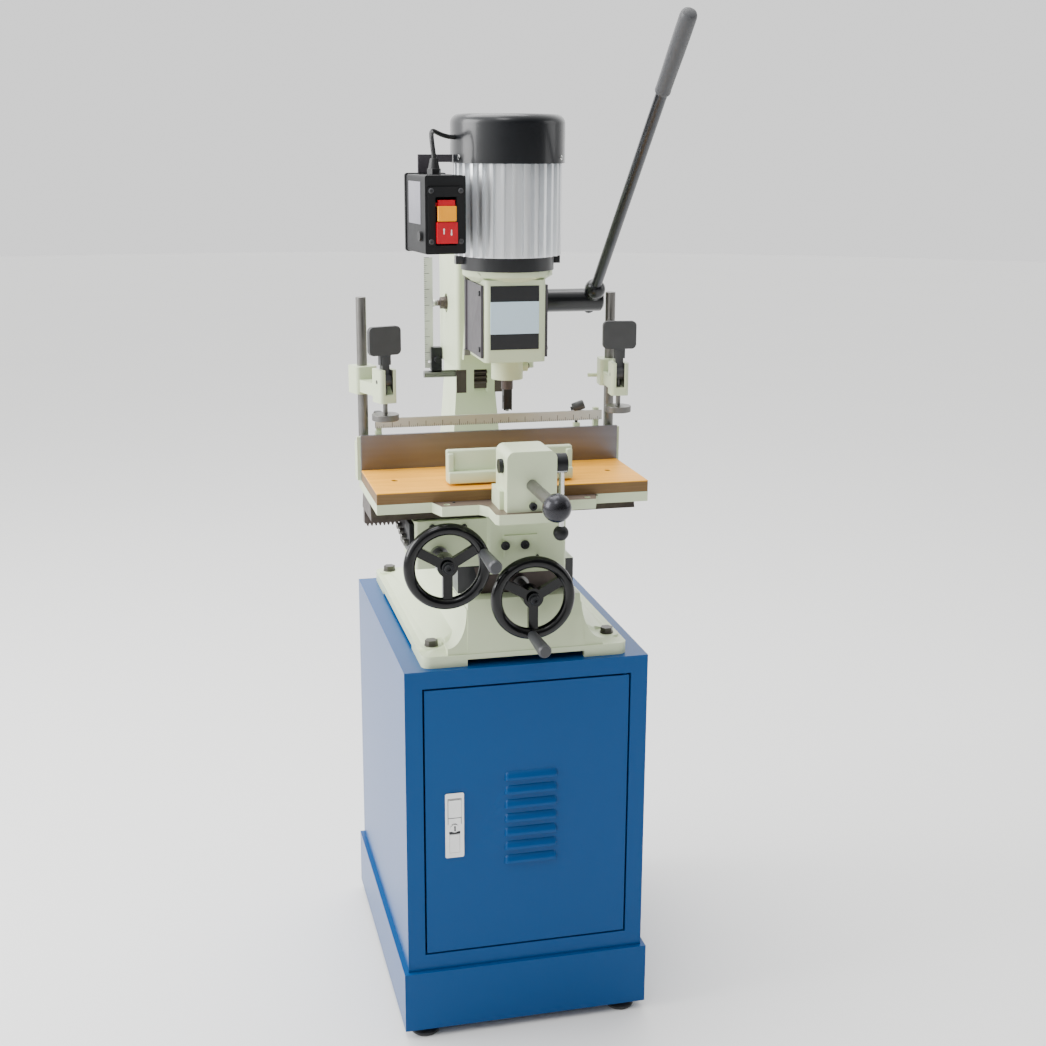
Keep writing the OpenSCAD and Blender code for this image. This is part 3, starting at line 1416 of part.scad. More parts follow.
module fence_casting() {
    w = table_w / 2 + 5;
    wall_back = casting_y + fence_wall;
    color(GREEN) difference() {
        union() {
            block(table_x - w, table_x + w, casting_y, wall_back, wood_z, fence_top_z - 3);
            block(table_x - w, table_x + w, casting_y, cast_back - 2, wood_z, wood_z + 10);
            for (s = [-1, 1]) rod_z(post_d + 12, wood_z, fence_top_z - 12, table_x + s * post_off, post_y);
            for (s = [-1, 1]) block(table_x + s * (post_off - 22) - 4, table_x + s * (post_off - 22) + 4,
                wall_back - MAGNET, wall_back + 8, wood_z, ruler_z + ruler_h + 3);
        }
        for (s = [-1, 1]) rod_z(post_d + 2 * run_fit, wood_z + 6, fence_top_z, table_x + s * post_off, post_y);
    }
}

module fence_plate() {
    w = table_w / 2;
    color("#8a8078") block(table_x - w, table_x + w, fence_y, casting_y, wood_z, fence_top_z);
}

// The ruler slides along the fence's two lugs and is held by two knobs
module stop_ruler() {
    x0 = table_x - post_off + 16;
    y1 = casting_y + fence_wall - part_gap;
    color(ALUMINIUM) block(x0, x0 + ruler_w, y1 - ruler_t, y1, ruler_z, ruler_z + ruler_h);
}

// ---------- Vise ----------

module vise_block() {
    w = vise_w / 2;
    color(GREEN) difference() {
        union() {
            round_block_y(vise_x - w, vise_x + w, vise_front, vise_front + vise_d, vise_z - 12, vise_z + vise_h, 11);
            block(vise_x - w - 6, vise_x + w + 4, vise_front + 20, vise_front + vise_d, vise_z, vise_z + 26);
        }
        block(vise_x - 2 * w, vise_x + 2 * w, vise_front - CUT, vise_front + vise_d + CUT, vise_z - 20, vise_z);
        rod_y(ram_d + 2 * run_fit, vise_front - CUT, vise_front + vise_d + CUT, vise_x, ram_z);
        rod_x(14 + 2 * run_fit, vise_x - w - CUT, vise_x + w + CUT, lock_y, lock_z);
        rod_y(9, vise_front - CUT, vise_front + 5, vise_x, vise_z + 9);
    }
    color(BLACK) rod_y(9 - MAGNET, vise_front - 4, vise_front + 5, vise_x, vise_z + 9);
}

module vise_jaw() {
    w = jaw_w / 2;
    front = jaw_back - jaw_t;
    color(GREEN) difference() {
        union() {
            round_block_y(table_x - w, table_x + w, front + 8, jaw_back, jaw_z, jaw_z + jaw_h, 3);
            block(table_x - w + 1, table_x + w - 1, front, jaw_back - 4, jaw_z + 1, jaw_z + 18);
            rod_y(30, front, jaw_back - 4, vise_x, ram_z);
        }
        rod_y(ram_d + 2 * MAGNET, front - CUT, front + 12, vise_x, ram_z);
    }
}

module vise_push_rod() {
    front = jaw_back - jaw_t;
    color(STEEL) rod_y(ram_d, ram_end, front + 12, vise_x, ram_z);
    color(BLACK) difference() {
        translate([vise_x, ram_end - ball_d / 2 + 4, ram_z]) sphere(d = ball_d, $fn = 48);
        rod_y(ram_d, ram_end, ram_end + 8, vise_x, ram_z);
    }
}

module vise_lock_lever() {
    drop = 100;
    arm_x = lock_x + 14;
    color(BLACK) {
        rod_x(14, vise_x - vise_w / 2 - 3, lock_x + 2, lock_y, lock_z);
        rod_x(20, vise_x - vise_w / 2 - 6, vise_x - vise_w / 2 - part_gap, lock_y, lock_z);
        rod_x(28, lock_x + part_gap, lock_x + 20, lock_y, lock_z);
        translate([arm_x, lock_y, lock_z - drop]) sphere(d = 22, $fn = 48);
    }
    color(STEEL) rod_z(8, lock_z - drop + 8, lock_z, arm_x, lock_y);
}

// ---------- Hold-downs ----------

module post(s) {
    color(STEEL) rod_z(post_d, wood_z + 6 + part_gap, post_top_z, table_x + s * post_off, post_y);
}

// An arm's own frame: origin on its post, reaching to -Y before its swing
module arm_frame(s, swing) {
    translate([table_x + s * post_off, post_y, 0]) rotate([0, 0, swing]) children();
}

module arm(s, swing) {
    c = clevis_w / 2;
    color(GREEN) arm_frame(s, swing) difference() {
        union() {
            rod_z(post_d + 16, arm_z, arm_z + arm_h, 0, 0);
            round_block(-17, 17, -18, 16, arm_z, arm_z + arm_h, 6);
            block(-c, c, -arm_reach + 8, -10, arm_z + 4, arm_z + 22);
            round_block(-c, c, -arm_reach - 14, -arm_reach + 18, arm_z - 4, arm_z + arm_h + 4, 5);
        }
        rod_z(post_d + 2 * run_fit, arm_z - CUT, arm_z + arm_h + CUT, 0, 0);
        block(-slot_w / 2, slot_w / 2, -arm_reach - 20, -arm_reach + 30, cam_z - 12, arm_z + arm_h + 6);
        rod_z(plunger_d + 2 * run_fit, arm_z - 6, cam_z, 0, -arm_reach);
        rod_x(6, -c - CUT, c + CUT, -arm_reach, cam_z + 6);
    }
    color(STEEL) arm_frame(s, swing) {
        rod_x(6 - MAGNET, -c, c, -arm_reach, cam_z + 6);
        rod_x(6, -s * 17 - 14, -s * 17 + 14, 12, arm_z + 12);
    }
}

slot_w = 12;

module cam_lever(s, swing) {
    t = slot_w / 2 - part_gap;
    pivot = cam_z + 6;
    color(DARK) arm_frame(s, swing) difference() {
        union() {
            rod_x(cam_d, -t, t, -arm_reach - cam_throw * sqrt(0.5), pivot + cam_throw * sqrt(0.5));
            block(-t, t, -arm_reach - 5, -arm_reach + 5, pivot, pivot + 36);
            block(-8.5, 8.5, -arm_reach - 4, -arm_reach + 4, pivot + 24, pivot + 40);
            round_block_y(-25, 25, -arm_reach - 4, -arm_reach + 4, pivot + 38, pivot + 79, 7);
        }
        rod_x(6 + 2 * run_fit, -t - CUT, t + CUT, -arm_reach, pivot);
    }
}

// The plunger follows the eccentric cam, which is nearly linear over its quarter turn
module plunger(s, swing) {
    color(STEEL) arm_frame(s, swing)
        rod_z(plunger_d, pad_z + pad_t, cam_z + 6 + cam_throw * sqrt(0.5) - cam_d / 2 - 0.4, 0, -arm_reach);
    color(DARK) arm_frame(s, swing) rod_z(pad_d, pad_z, pad_z + pad_t, 0, -arm_reach);
}

module left_post() { post(-1); }
module left_arm() { arm(-1, left_swing); }
module left_cam_lever() { cam_lever(-1, left_swing); }
module left_plunger() { plunger(-1, left_swing); }
module right_post() { post(1); }
module right_arm() { arm(1, right_swing); }
module right_cam_lever() { cam_lever(1, right_swing); }
module right_plunger() { plunger(1, right_swing); }

cabinet_shell();
cabinet_plinth();
levelling_feet();
cabinet_door();
door_latch();
latch_flap();
base_casting();
base_bolts();
column();
column_fittings();
head_casting();
head_fasteners();
chuck_door_left();
chuck_door_right();
mortise_chisel();
auger_bit();
drill_chuck();
motor_flange();
motor_housing();
motor_inner_parts();
motor_shaft();
cooling_fan();
fan_cover();
pinion_shaft();
lever_hub();
feed_lever();
lever_grip();
switch_bracket();
switch_box();
switch_paddle();
switch_key();
switch_fittings();
motor_lead();
depth_scale();
depth_stop_block();
saddle();
cross_screw();
cross_handwheel();
cross_grip();
table_shaft();
table_handwheel();
table_grip();
table_casting();
table_rack();
wood_table();
fence_casting();
fence_plate();
stop_ruler();
vise_block();
vise_jaw();
vise_push_rod();
vise_lock_lever();
left_post();
left_arm();
left_cam_lever();
left_plunger();
right_post();
right_arm();
right_cam_lever();
right_plunger();
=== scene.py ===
"""A hollow chisel mortiser on its cabinet stand, dressed for the studio.

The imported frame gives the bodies, their places and their joints. The classes below round the castings off,
add the fittings that a solid model leaves plain, and give every surface the finish of its real material.
"""

import json
import logging
import math
from dataclasses import dataclass
from enum import Enum
from typing import Callable, Iterable, Optional, Sequence

import bmesh
import bpy
from mathutils import Matrix, Vector

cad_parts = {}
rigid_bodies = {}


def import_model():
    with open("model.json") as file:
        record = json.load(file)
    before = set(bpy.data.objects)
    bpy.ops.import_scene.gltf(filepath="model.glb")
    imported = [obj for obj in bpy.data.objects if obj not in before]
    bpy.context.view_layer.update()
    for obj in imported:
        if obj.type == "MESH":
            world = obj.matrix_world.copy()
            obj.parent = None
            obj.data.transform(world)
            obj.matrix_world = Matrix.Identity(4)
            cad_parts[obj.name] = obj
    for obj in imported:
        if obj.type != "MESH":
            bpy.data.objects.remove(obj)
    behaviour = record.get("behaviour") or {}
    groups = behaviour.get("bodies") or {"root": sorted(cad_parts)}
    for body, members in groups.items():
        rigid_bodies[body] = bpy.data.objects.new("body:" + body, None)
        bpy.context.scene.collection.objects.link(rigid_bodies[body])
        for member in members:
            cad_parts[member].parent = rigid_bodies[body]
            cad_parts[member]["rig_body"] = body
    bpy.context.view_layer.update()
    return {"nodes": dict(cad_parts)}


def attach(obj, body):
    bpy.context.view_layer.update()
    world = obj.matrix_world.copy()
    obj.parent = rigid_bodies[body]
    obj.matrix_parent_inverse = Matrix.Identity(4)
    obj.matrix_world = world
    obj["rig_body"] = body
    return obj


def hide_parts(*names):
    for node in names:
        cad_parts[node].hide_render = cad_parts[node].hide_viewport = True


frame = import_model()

log = logging.getLogger("mortiser")

MM = 0.001
# Distance in metres under which two points are one
WELD = 2e-6
# Distance in metres by which a face may stick out of the box that it is looked up in
SNUG = 1e-5
# Distance in metres within which a cut takes a point as on its plane
ON_PLANE = 1e-6
# Lowest roughness that a finish wanders down to
MIRROR = 0.02
# Size of the patches in gloss, as a share of the patches in colour
GLOSS_TO_DRIFT = 0.4

Colour = tuple[float, float, float, float]
Point = tuple[float, float, float]


class Axis(Enum):
    """The direction that a round piece or a brushed pattern runs in."""

    X = "X"
    Y = "Y"
    Z = "Z"

    def matrix(self) -> Matrix:
        """Returns the turn that brings +Z onto this axis."""
        turns = {
            "X": Matrix.Rotation(math.pi / 2, 4, "Y"),
            "Y": Matrix.Rotation(-math.pi / 2, 4, "X"),
            "Z": Matrix.Identity(4),
        }
        return turns[self.value]


# ---------------------------------------------------------------- colour and nodes


def srgb(code: str) -> Colour:
    """Turns an sRGB hex code into linear colour.

    Args:
        code: Six hex digits after a hash sign.

    Returns:
        Linear red, green, blue and a full alpha.
    """
    parts = [int(code[i : i + 2], 16) / 255 for i in (1, 3, 5)]
    lin = [c / 12.92 if c <= 0.04045 else ((c + 0.055) / 1.055) ** 2.4 for c in parts]
    return (lin[0], lin[1], lin[2], 1.0)


def add_node(
    tree: bpy.types.NodeTree,
    kind: str,
    settings: Optional[dict] = None,
    inputs: Optional[dict] = None,
) -> bpy.types.Node:
    """Adds one node, sets it up and links it.

    Args:
        tree: The node tree of a material.
        kind: The node's Blender type.
        settings: Properties of the node itself.
        inputs: Socket name or number to a value, or to the socket that feeds it.

    Returns:
        The new node.
    """
    node = tree.nodes.new(kind)
    for key, value in (settings or {}).items():
        setattr(node, key, value)
    for key, value in (inputs or {}).items():
        if isinstance(value, bpy.types.NodeSocket):
            tree.links.new(value, node.inputs[key])
        else:
            node.inputs[key].default_value = value
    return node


# ---------------------------------------------------------------- finishes


@dataclass(frozen=True)
class Finish:
    """A real surface: its colour, its gloss, and the unevenness that its making leaves.

    Attributes:
        name: Common name of the material and how it was made.
        colour: Main colour, sRGB hex.
        shade: Colour that the slow drift and the stains lean to.
        roughness: Typical roughness.
        metallic: 1 for bare metal.
        ior: Index of refraction, left alone on a metal.
        coat: Weight of a clear coat.
        coat_roughness: Roughness of that coat.
        drift_mm: Size of the slow drift in colour.
        grain_mm: Size of the finest unevenness that shows.
        grain_depth_mm: Height of that unevenness.
        stretch: How the pattern is drawn out along X, Y and Z, for rolled, brushed or turned stock.
        gloss_drift: How far the roughness wanders.
        sheen: Weight of the dusty sheen on rubber.
    """

    name: str
    colour: str
    shade: str
    roughness: float
    metallic: float = 0.0
    ior: float = 1.5
    coat: float = 0.0
    coat_roughness: float = 0.1
    drift_mm: float = 80.0
    grain_mm: float = 1.5
    grain_depth_mm: float = 0.02
    stretch: Point = (1.0, 1.0, 1.0)
    gloss_drift: float = 0.08
    sheen: float = 0.0

    def shader(self, tree: bpy.types.NodeTree) -> bpy.types.Node:
        """Adds the shader with its constant values, and the output.

        Args:
            tree: The material's tree.

        Returns:
            The shader's node.
        """
        values = {
            "Metallic": self.metallic,
            "Coat Weight": self.coat,
            "Coat Roughness": self.coat_roughness,
            "Sheen Weight": self.sheen,
        }
        if self.metallic < 0.5:
            values["IOR"] = self.ior
        shader = add_node(tree, "ShaderNodeBsdfPrincipled", None, values)
        add_node(tree, "ShaderNodeOutputMaterial", None, {"Surface": shader.outputs["BSDF"]})
        return shader

    def noise(
        self, tree: bpy.types.NodeTree, vector: bpy.types.NodeSocket, size_mm: float, detail: float
    ) -> bpy.types.NodeSocket:
        """Adds noise whose largest features have a real size.

        Args:
            tree: The material's tree.
            vector: Coordinates in metres.
            size_mm: Size of the features.
            detail: Octaves of finer detail.

        Returns:
            The noise's value.
        """
        node = add_node(
            tree,
            "ShaderNodeTexNoise",
            None,
            {"Vector": vector, "Scale": 1 / (size_mm * MM), "Detail": detail, "Roughness": 0.55},
        )
        return node.outputs["Fac"]

    def base(self, tree: bpy.types.NodeTree, vector: bpy.types.NodeSocket) -> bpy.types.NodeSocket:
        """Mixes the two colours by a slow drift.

        Args:
            tree: The material's tree.
            vector: Coordinates in metres, drawn out as the finish asks.

        Returns:
            The colour.
        """
        drift = self.noise(tree, vector, self.drift_mm, 2.0)
        mix = add_node(
            tree,
            "ShaderNodeMix",
            {"data_type": "RGBA"},
            {0: drift, 6: srgb(self.colour), 7: srgb(self.shade)},
        )
        return mix.outputs[2]

    def relief(self, tree: bpy.types.NodeTree, vector: bpy.types.NodeSocket) -> bpy.types.NodeSocket:
        """Adds the fine unevenness as bump.

        Args:
            tree: The material's tree.
            vector: Coordinates in metres, drawn out as the finish asks.

        Returns:
            The normal.
        """
        grain = self.noise(tree, vector, self.grain_mm, 2.0)
        bump = add_node(
            tree,
            "ShaderNodeBump",
            None,
            {"Height": grain, "Distance": self.grain_depth_mm * MM, "Strength": 1.0},
        )
        return bump.outputs["Normal"]

    def build(self) -> bpy.types.Material:
        """Makes the material.

        Returns:
            The material, with all its nodes.
        """
        material = bpy.data.materials.new(self.name)
        material.use_nodes = True
        tree = material.node_tree
        tree.nodes.clear()
        shader = self.shader(tree)
        coords = add_node(tree, "ShaderNodeTexCoord")
        drawn = add_node(
            tree,
            "ShaderNodeMapping",
            None,
            {"Vector": coords.outputs["Object"], "Scale": Vector([1 / s for s in self.stretch])},
        ).outputs["Vector"]
        tree.links.new(self.base(tree, drawn), shader.inputs["Base Color"])
        gloss = add_node(
            tree,
            "ShaderNodeMapRange",
            None,
            {
                "Value": self.noise(tree, drawn, self.drift_mm * GLOSS_TO_DRIFT, 2.0),
                "To Min": max(MIRROR, self.roughness - self.gloss_drift),
                "To Max": min(1.0, self.roughness + self.gloss_drift),
            },
        )
        tree.links.new(gloss.outputs[0], shader.inputs["Roughness"])
        tree.links.new(self.relief(tree, drawn), shader.inputs["Normal"])
        material.diffuse_color = srgb(self.colour)
        return material


@dataclass(frozen=True)
class TableTop(Finish):
    """Varnished hardwood board: long grain along X on the faces, a browner sanded edge.

    Attributes:
        edge: Colour of the sanded edge.
        line: Colour of the grain lines.
        top_z: Height of the board's top face, in metres.
    """

    edge: str = "#7C6240"
    line: str = "#E69E26"
    top_z: float = 0.884

    def base(self, tree: bpy.types.NodeTree, vector: bpy.types.NodeSocket) -> bpy.types.NodeSocket:
        """Draws the grain lines and darkens what lies below the top face.

        Args:
            tree: The material's tree.
            vector: Coordinates that the plain finishes read; not used, since the grain has its own.

        Returns:
            The colour.
        """
        coords = add_node(tree, "ShaderNodeTexCoord").outputs["Object"]
        grain = add_node(
            tree,
            "ShaderNodeMapping",
            None,
            {"Vector": coords, "Scale": Vector((0.05, 1.0, 1.0))},
        ).outputs["Vector"]
        fine = self.noise(tree, grain, 2.2, 6.0)
        wide = self.noise(tree, grain, 14.0, 3.0)
        both = add_node(tree, "ShaderNodeMath", {"operation": "MULTIPLY"}, {0: fine, 1: wide})
        fade = add_node(
            tree,
            "ShaderNodeMapRange",
            None,
            {"Value": both.outputs[0], "From Min": 0.16, "From Max": 0.36},
        )
        face = add_node(
            tree,
            "ShaderNodeMix",
            {"data_type": "RGBA"},
            {0: fade.outputs[0], 6: srgb(self.colour), 7: srgb(self.line)},
        )
        place = add_node(tree, "ShaderNodeSeparateXYZ", None, {"Vector": coords})
        low = add_node(
            tree,
            "ShaderNodeMapRange",
            None,
            {
                "Value": place.outputs["Z"],
                "From Min": self.top_z - 0.6 * MM,
                "From Max": self.top_z - 2 * MM,
            },
        )
        edge = add_node(
            tree,
            "ShaderNodeMix",
            {"data_type": "RGBA"},
            {0: fine, 6: srgb(self.edge), 7: srgb(self.shade)},
        )
        mixed = add_node(
            tree,
            "ShaderNodeMix",
            {"data_type": "RGBA"},
            {0: low.outputs[0], 6: face.outputs[2], 7: edge.outputs[2]},
        )
        return mixed.outputs[2]


@dataclass(frozen=True)
class Rule(Finish):
    """Satin steel rule with etched graduations along one axis.

    Attributes:
        axis: Direction that the rule runs in.
        start: Place of its zero, in metres.
        step_mm: Distance between two fine graduations.
        across: Axis that the graduations stand along.
        foot: Where the graduations start, in metres, on that axis.
        ink: Colour of the graduations.
    """

    axis: Axis = Axis.X
    start: float = 0.0
    step_mm: float = 3.175
    across: Axis = Axis.Z
    foot: float = 0.0
    ink: str = "#30312F"

    def marks(
        self,
        tree: bpy.types.NodeTree,
        along: bpy.types.NodeSocket,
        height: bpy.types.NodeSocket,
        every: int,
        tall_mm: float,
        wide_mm: float,
    ) -> bpy.types.NodeSocket:
        """Draws one family of graduations.

        Args:
            tree: The material's tree.
            along: Distance along the rule, in metres.
            height: Distance from the foot of the graduations, in metres.
            every: Fine graduations between two marks of this family.
            tall_mm: Length of a mark.
            wide_mm: Width of a mark.

        Returns:
            1 on a mark and 0 elsewhere.
        """
        step = every * self.step_mm * MM
        wrapped = add_node(
            tree, "ShaderNodeMath", {"operation": "PINGPONG"}, {0: along, 1: step / 2}
        )
        line = add_node(
            tree,
            "ShaderNodeMath",
            {"operation": "LESS_THAN"},
            {0: wrapped.outputs[0], 1: wide_mm * MM / 2},
        )
        short = add_node(
            tree, "ShaderNodeMath", {"operation": "LESS_THAN"}, {0: height, 1: tall_mm * MM}
        )
        both = add_node(
            tree,
            "ShaderNodeMath",
            {"operation": "MULTIPLY"},
            {0: line.outputs[0], 1: short.outputs[0]},
        )
        return both.outputs[0]

    def base(self, tree: bpy.types.NodeTree, vector: bpy.types.NodeSocket) -> bpy.types.NodeSocket:
        """Puts three families of graduations over the satin steel.

        Args:
            tree: The material's tree.
            vector: Coordinates of the satin steel below the graduations.

        Returns:
            The colour.
        """
        ground = super().base(tree, vector)
        coords = add_node(tree, "ShaderNodeTexCoord").outputs["Object"]
        place = add_node(tree, "ShaderNodeSeparateXYZ", None, {"Vector": coords})
        along = add_node(
            tree,
            "ShaderNodeMath",
            {"operation": "SUBTRACT"},
            {0: place.outputs[self.axis.value], 1: self.start},
        ).outputs[0]
        offset = add_node(
            tree,
            "ShaderNodeMath",
            {"operation": "SUBTRACT"},
            {0: place.outputs[self.across.value], 1: self.foot},
        ).outputs[0]
        height = add_node(
            tree, "ShaderNodeMath", {"operation": "ABSOLUTE"}, {0: offset}
        ).outputs[0]
        ink = None
        for every, tall, wide in ((1, 3.0, 0.45), (4, 5.5, 0.6), (8, 9.0, 0.8)):
            one = self.marks(tree, along, height, every, tall, wide)
            ink = (
                one
                if ink is None
                else add_node(
                    tree, "ShaderNodeMath", {"operation": "MAXIMUM"}, {0: ink, 1: one}
                ).outputs[0]
            )
        mixed = add_node(
            tree,
            "ShaderNodeMix",
            {"data_type": "RGBA"},
            {0: ink, 6: ground, 7: srgb(self.ink)},
        )
        return mixed.outputs[2]


# Hot-sprayed enamel over pressed sheet: deep blue and smooth. Its orange peel, about 1.5 mm across, is too
# fine to show, so it is drawn coarser.
CABINET_ENAMEL = Finish(
    "stoved_enamel_blue", "#00447D", "#003D72", 0.27, ior=1.27,
    drift_mm=700, grain_mm=7.0, grain_depth_mm=0.012, gloss_drift=0.01,
)
# Machine enamel over sand-cast iron: pale sage, thick and soft-edged, slightly lumpy from the mould.
CASTING_ENAMEL = Finish(
    "machine_enamel_on_cast_iron", "#C9D4B4", "#BFCBA8", 0.4, ior=1.4, coat=0.1, coat_roughness=0.2,
    drift_mm=70, grain_mm=2.6, grain_depth_mm=0.035, gloss_drift=0.07,
)
# Turned mild steel with a thin film of oil: fine rings that blur its highlights.
TURNED_STEEL = Finish(
    "turned_mild_steel", "#8E8F90", "#7C7B79", 0.32, metallic=1.0, drift_mm=30,
    grain_mm=0.8, grain_depth_mm=0.01, gloss_drift=0.1,
)
# Ground steel plate that has browned a little: long scratches and patchy tarnish.
GROUND_FENCE = Finish(
    "surface_ground_steel", "#86868B", "#636268", 0.42, metallic=0.85, drift_mm=26,
    grain_mm=0.9, grain_depth_mm=0.012, stretch=(14.0, 1.0, 1.0), gloss_drift=0.14,
)
# Die-cast and brushed aluminium: bright, with streaks along the fins.
MOTOR_ALUMINIUM = Finish(
    "brushed_aluminium_casting", "#F2F4F6", "#E2E5E8", 0.38, metallic=0.9, drift_mm=40,
    grain_mm=1.0, grain_depth_mm=0.02, stretch=(1.0, 1.0, 8.0), gloss_drift=0.08,
)
# Spun steel under gloss black enamel.
MOTOR_BLACK = Finish(
    "gloss_black_enamel", "#131519", "#0E1013", 0.3, ior=1.42, coat=0.2, coat_roughness=0.12,
    drift_mm=60, grain_mm=1.4, grain_depth_mm=0.008, gloss_drift=0.05,
)
# Polished phenolic handwheels: almost a mirror.
PHENOLIC_BLACK = Finish(
    "polished_phenolic", "#08090B", "#050607", 0.16, ior=1.36, coat=0.06, coat_roughness=0.05,
    drift_mm=40, grain_mm=2.0, grain_depth_mm=0.006, gloss_drift=0.04,
)
# Moulded plastic grips with a satin skin.
GRIP_PLASTIC = Finish(
    "satin_moulded_plastic", "#3A3B3E", "#333437", 0.45, drift_mm=30, grain_mm=0.7,
    grain_depth_mm=0.02, gloss_drift=0.06,
)
# Dipped vinyl grip: dull, slightly dusty.
GRIP_VINYL = Finish(
    "dipped_vinyl", "#3C3D40", "#333437", 0.5, drift_mm=40, grain_mm=0.9, grain_depth_mm=0.03,
    gloss_drift=0.07, sheen=0.1,
)
# Blued steel bar: dark, with a low sheen.
BLUED_STEEL = Finish(
    "blued_steel_bar", "#4C4D50", "#3D3E41", 0.34, metallic=0.9, drift_mm=25, grain_mm=0.8,
    grain_depth_mm=0.012, gloss_drift=0.08,
)
# Bright bar as it comes from the mill.
DRAWN_STEEL = Finish(
    "drawn_steel_bar", "#7B7A78", "#696763", 0.38, metallic=0.95, drift_mm=22, grain_mm=0.8,
    grain_depth_mm=0.012, gloss_drift=0.1,
)
# Black oxide on fasteners and tool steel.
BLACK_OXIDE = Finish(
    "black_oxide_steel", "#26272A", "#1D1E20", 0.42, metallic=0.6, drift_mm=12, grain_mm=0.6,
    grain_depth_mm=0.01, gloss_drift=0.08,
)
# Dark grey paint on pressed steel.
DARK_ENAMEL = Finish(
    "dark_grey_enamel", "#4A474C", "#413E43", 0.45, ior=1.4, drift_mm=30, grain_mm=1.2,
    grain_depth_mm=0.01, gloss_drift=0.06,
)
# Rough dark cast levers.
CAST_LEVER = Finish(
    "black_cast_lever", "#3A3B3C", "#303131", 0.48, drift_mm=16, grain_mm=0.9,
    grain_depth_mm=0.04, gloss_drift=0.08,
)
# Bright nickel plate over pressed steel.
NICKEL_PLATE = Finish(
    "nickel_plated_steel", "#D4D5D4", "#C2C3C3", 0.2, metallic=1.0, drift_mm=18, grain_mm=0.8,
    grain_depth_mm=0.004, gloss_drift=0.06,
)
# Sliding faces and racks: scraped steel that has gone brown in its oil.
WORN_STEEL = Finish(
    "oiled_scraped_steel", "#5E5552", "#48413F", 0.45, metallic=0.8, drift_mm=14, grain_mm=0.9,
    grain_depth_mm=0.015, gloss_drift=0.12,
)
# Ground top of the table casting: bare iron with brown patches.
BARE_CASTING = Finish(
    "ground_bare_iron", "#8B7D72", "#6A5B51", 0.48, metallic=0.7, drift_mm=18, grain_mm=0.9,
    grain_depth_mm=0.012, stretch=(6.0, 1.0, 1.0), gloss_drift=0.12,
)
# Hexagon bolts, phosphated dark grey.
DARK_BOLT = Finish(
    "phosphated_bolt_steel", "#55534F", "#43413E", 0.4, metallic=0.75, drift_mm=8, grain_mm=0.7,
    grain_depth_mm=0.012, gloss_drift=0.1,
)
# Turned ball on the vise's rod: dark steel, nearly polished.
BALL_STEEL = Finish(
    "burnished_dark_steel", "#3A3A3E", "#2E2E31", 0.26, metallic=0.85, drift_mm=14, grain_mm=0.8,
    grain_depth_mm=0.01, gloss_drift=0.08,
)
# Printed polyester label: pale blue field.
LABEL_BLUE = Finish(
    "printed_polyester_pale", "#C3DAE8", "#BAD3E2", 0.35, drift_mm=40, grain_mm=1.0,
    grain_depth_mm=0.003, gloss_drift=0.04,
)
# Printed polyester label: black bands.
LABEL_BLACK = Finish(
    "printed_polyester_black", "#17191C", "#121316", 0.32, drift_mm=40, grain_mm=1.0,
    grain_depth_mm=0.003, gloss_drift=0.04,
)
# Bare anodised plate on the switch box.
BLANK_PLATE = Finish(
    "matt_anodised_plate", "#8E8D95", "#828189", 0.5, metallic=0.3, drift_mm=20, grain_mm=0.7,
    grain_depth_mm=0.006, gloss_drift=0.05,
)
# White pad print.
PRINT_WHITE = Finish(
    "white_pad_print", "#F2EFEA", "#E9E5DF", 0.5, drift_mm=10, grain_mm=0.6,
    grain_depth_mm=0.004, gloss_drift=0.04,
)
# Moulded rubber foot. Its dark colour also paints the shade in the louvre slots and under the hoods.
RUBBER_AND_PAINTED_SHADE = Finish(
    "moulded_rubber_and_painted_shade", "#242528", "#1C1D1F", 0.62, drift_mm=14, grain_mm=0.8, grain_depth_mm=0.03,
    gloss_drift=0.05, sheen=0.1,
)
# Textured steel box, powder coated black.
BOX_COATING = Finish(
    "fine_textured_powder_coat", "#141517", "#0F1012", 0.5, ior=1.35, drift_mm=30, grain_mm=0.8,
    grain_depth_mm=0.03, gloss_drift=0.05,
)
# Moulded switch parts: glossy ABS.
SWITCH_RED = Finish(
    "red_abs", "#C2081F", "#B0071B", 0.26, drift_mm=20, grain_mm=1.0, grain_depth_mm=0.008,
    gloss_drift=0.04,
)
SWITCH_YELLOW = Finish(
    "yellow_abs", "#FFA800", "#F59C00", 0.3, drift_mm=20, grain_mm=1.0, grain_depth_mm=0.008,
    gloss_drift=0.04,
)
# Round rubber-sheathed lead.
LEAD_RUBBER = Finish(
    "rubber_sheath", "#1A1B1D", "#141516", 0.5, drift_mm=20, grain_mm=0.8, grain_depth_mm=0.02,
)
# Laminated core and lacquered copper windings.
WINDINGS = Finish(
    "lacquered_windings", "#7A4A24", "#5C3417", 0.4, metallic=0.3, drift_mm=8, grain_mm=1.0,
    grain_depth_mm=0.1, stretch=(1.0, 1.0, 6.0),
)
BOARD = TableTop(
    "varnished_hardwood", "#FBB436", "#5F4A30", 0.5, ior=1.3, drift_mm=60,
    grain_mm=1.4, grain_depth_mm=0.012, stretch=(16.0, 1.0, 1.0), gloss_drift=0.06,
)
STOP_RULE = Rule(
    "etched_satin_steel", "#C6C8C2", "#B2B4AE", 0.36, metallic=0.55, drift_mm=40, grain_mm=0.9,
    grain_depth_mm=0.006, axis=Axis.X, start=-0.204, step_mm=3.175, across=Axis.Z, foot=0.944,
)
DEPTH_RULE = Rule(
    "etched_satin_steel_upright", "#C9CBC6", "#B5B7B2", 0.36, metallic=0.55, drift_mm=40,
    grain_mm=0.9, grain_depth_mm=0.006, axis=Axis.Z, start=0.9983, step_mm=3.175,
    across=Axis.X, foot=-0.0905,
)


# ---------------------------------------------------------------- shapes


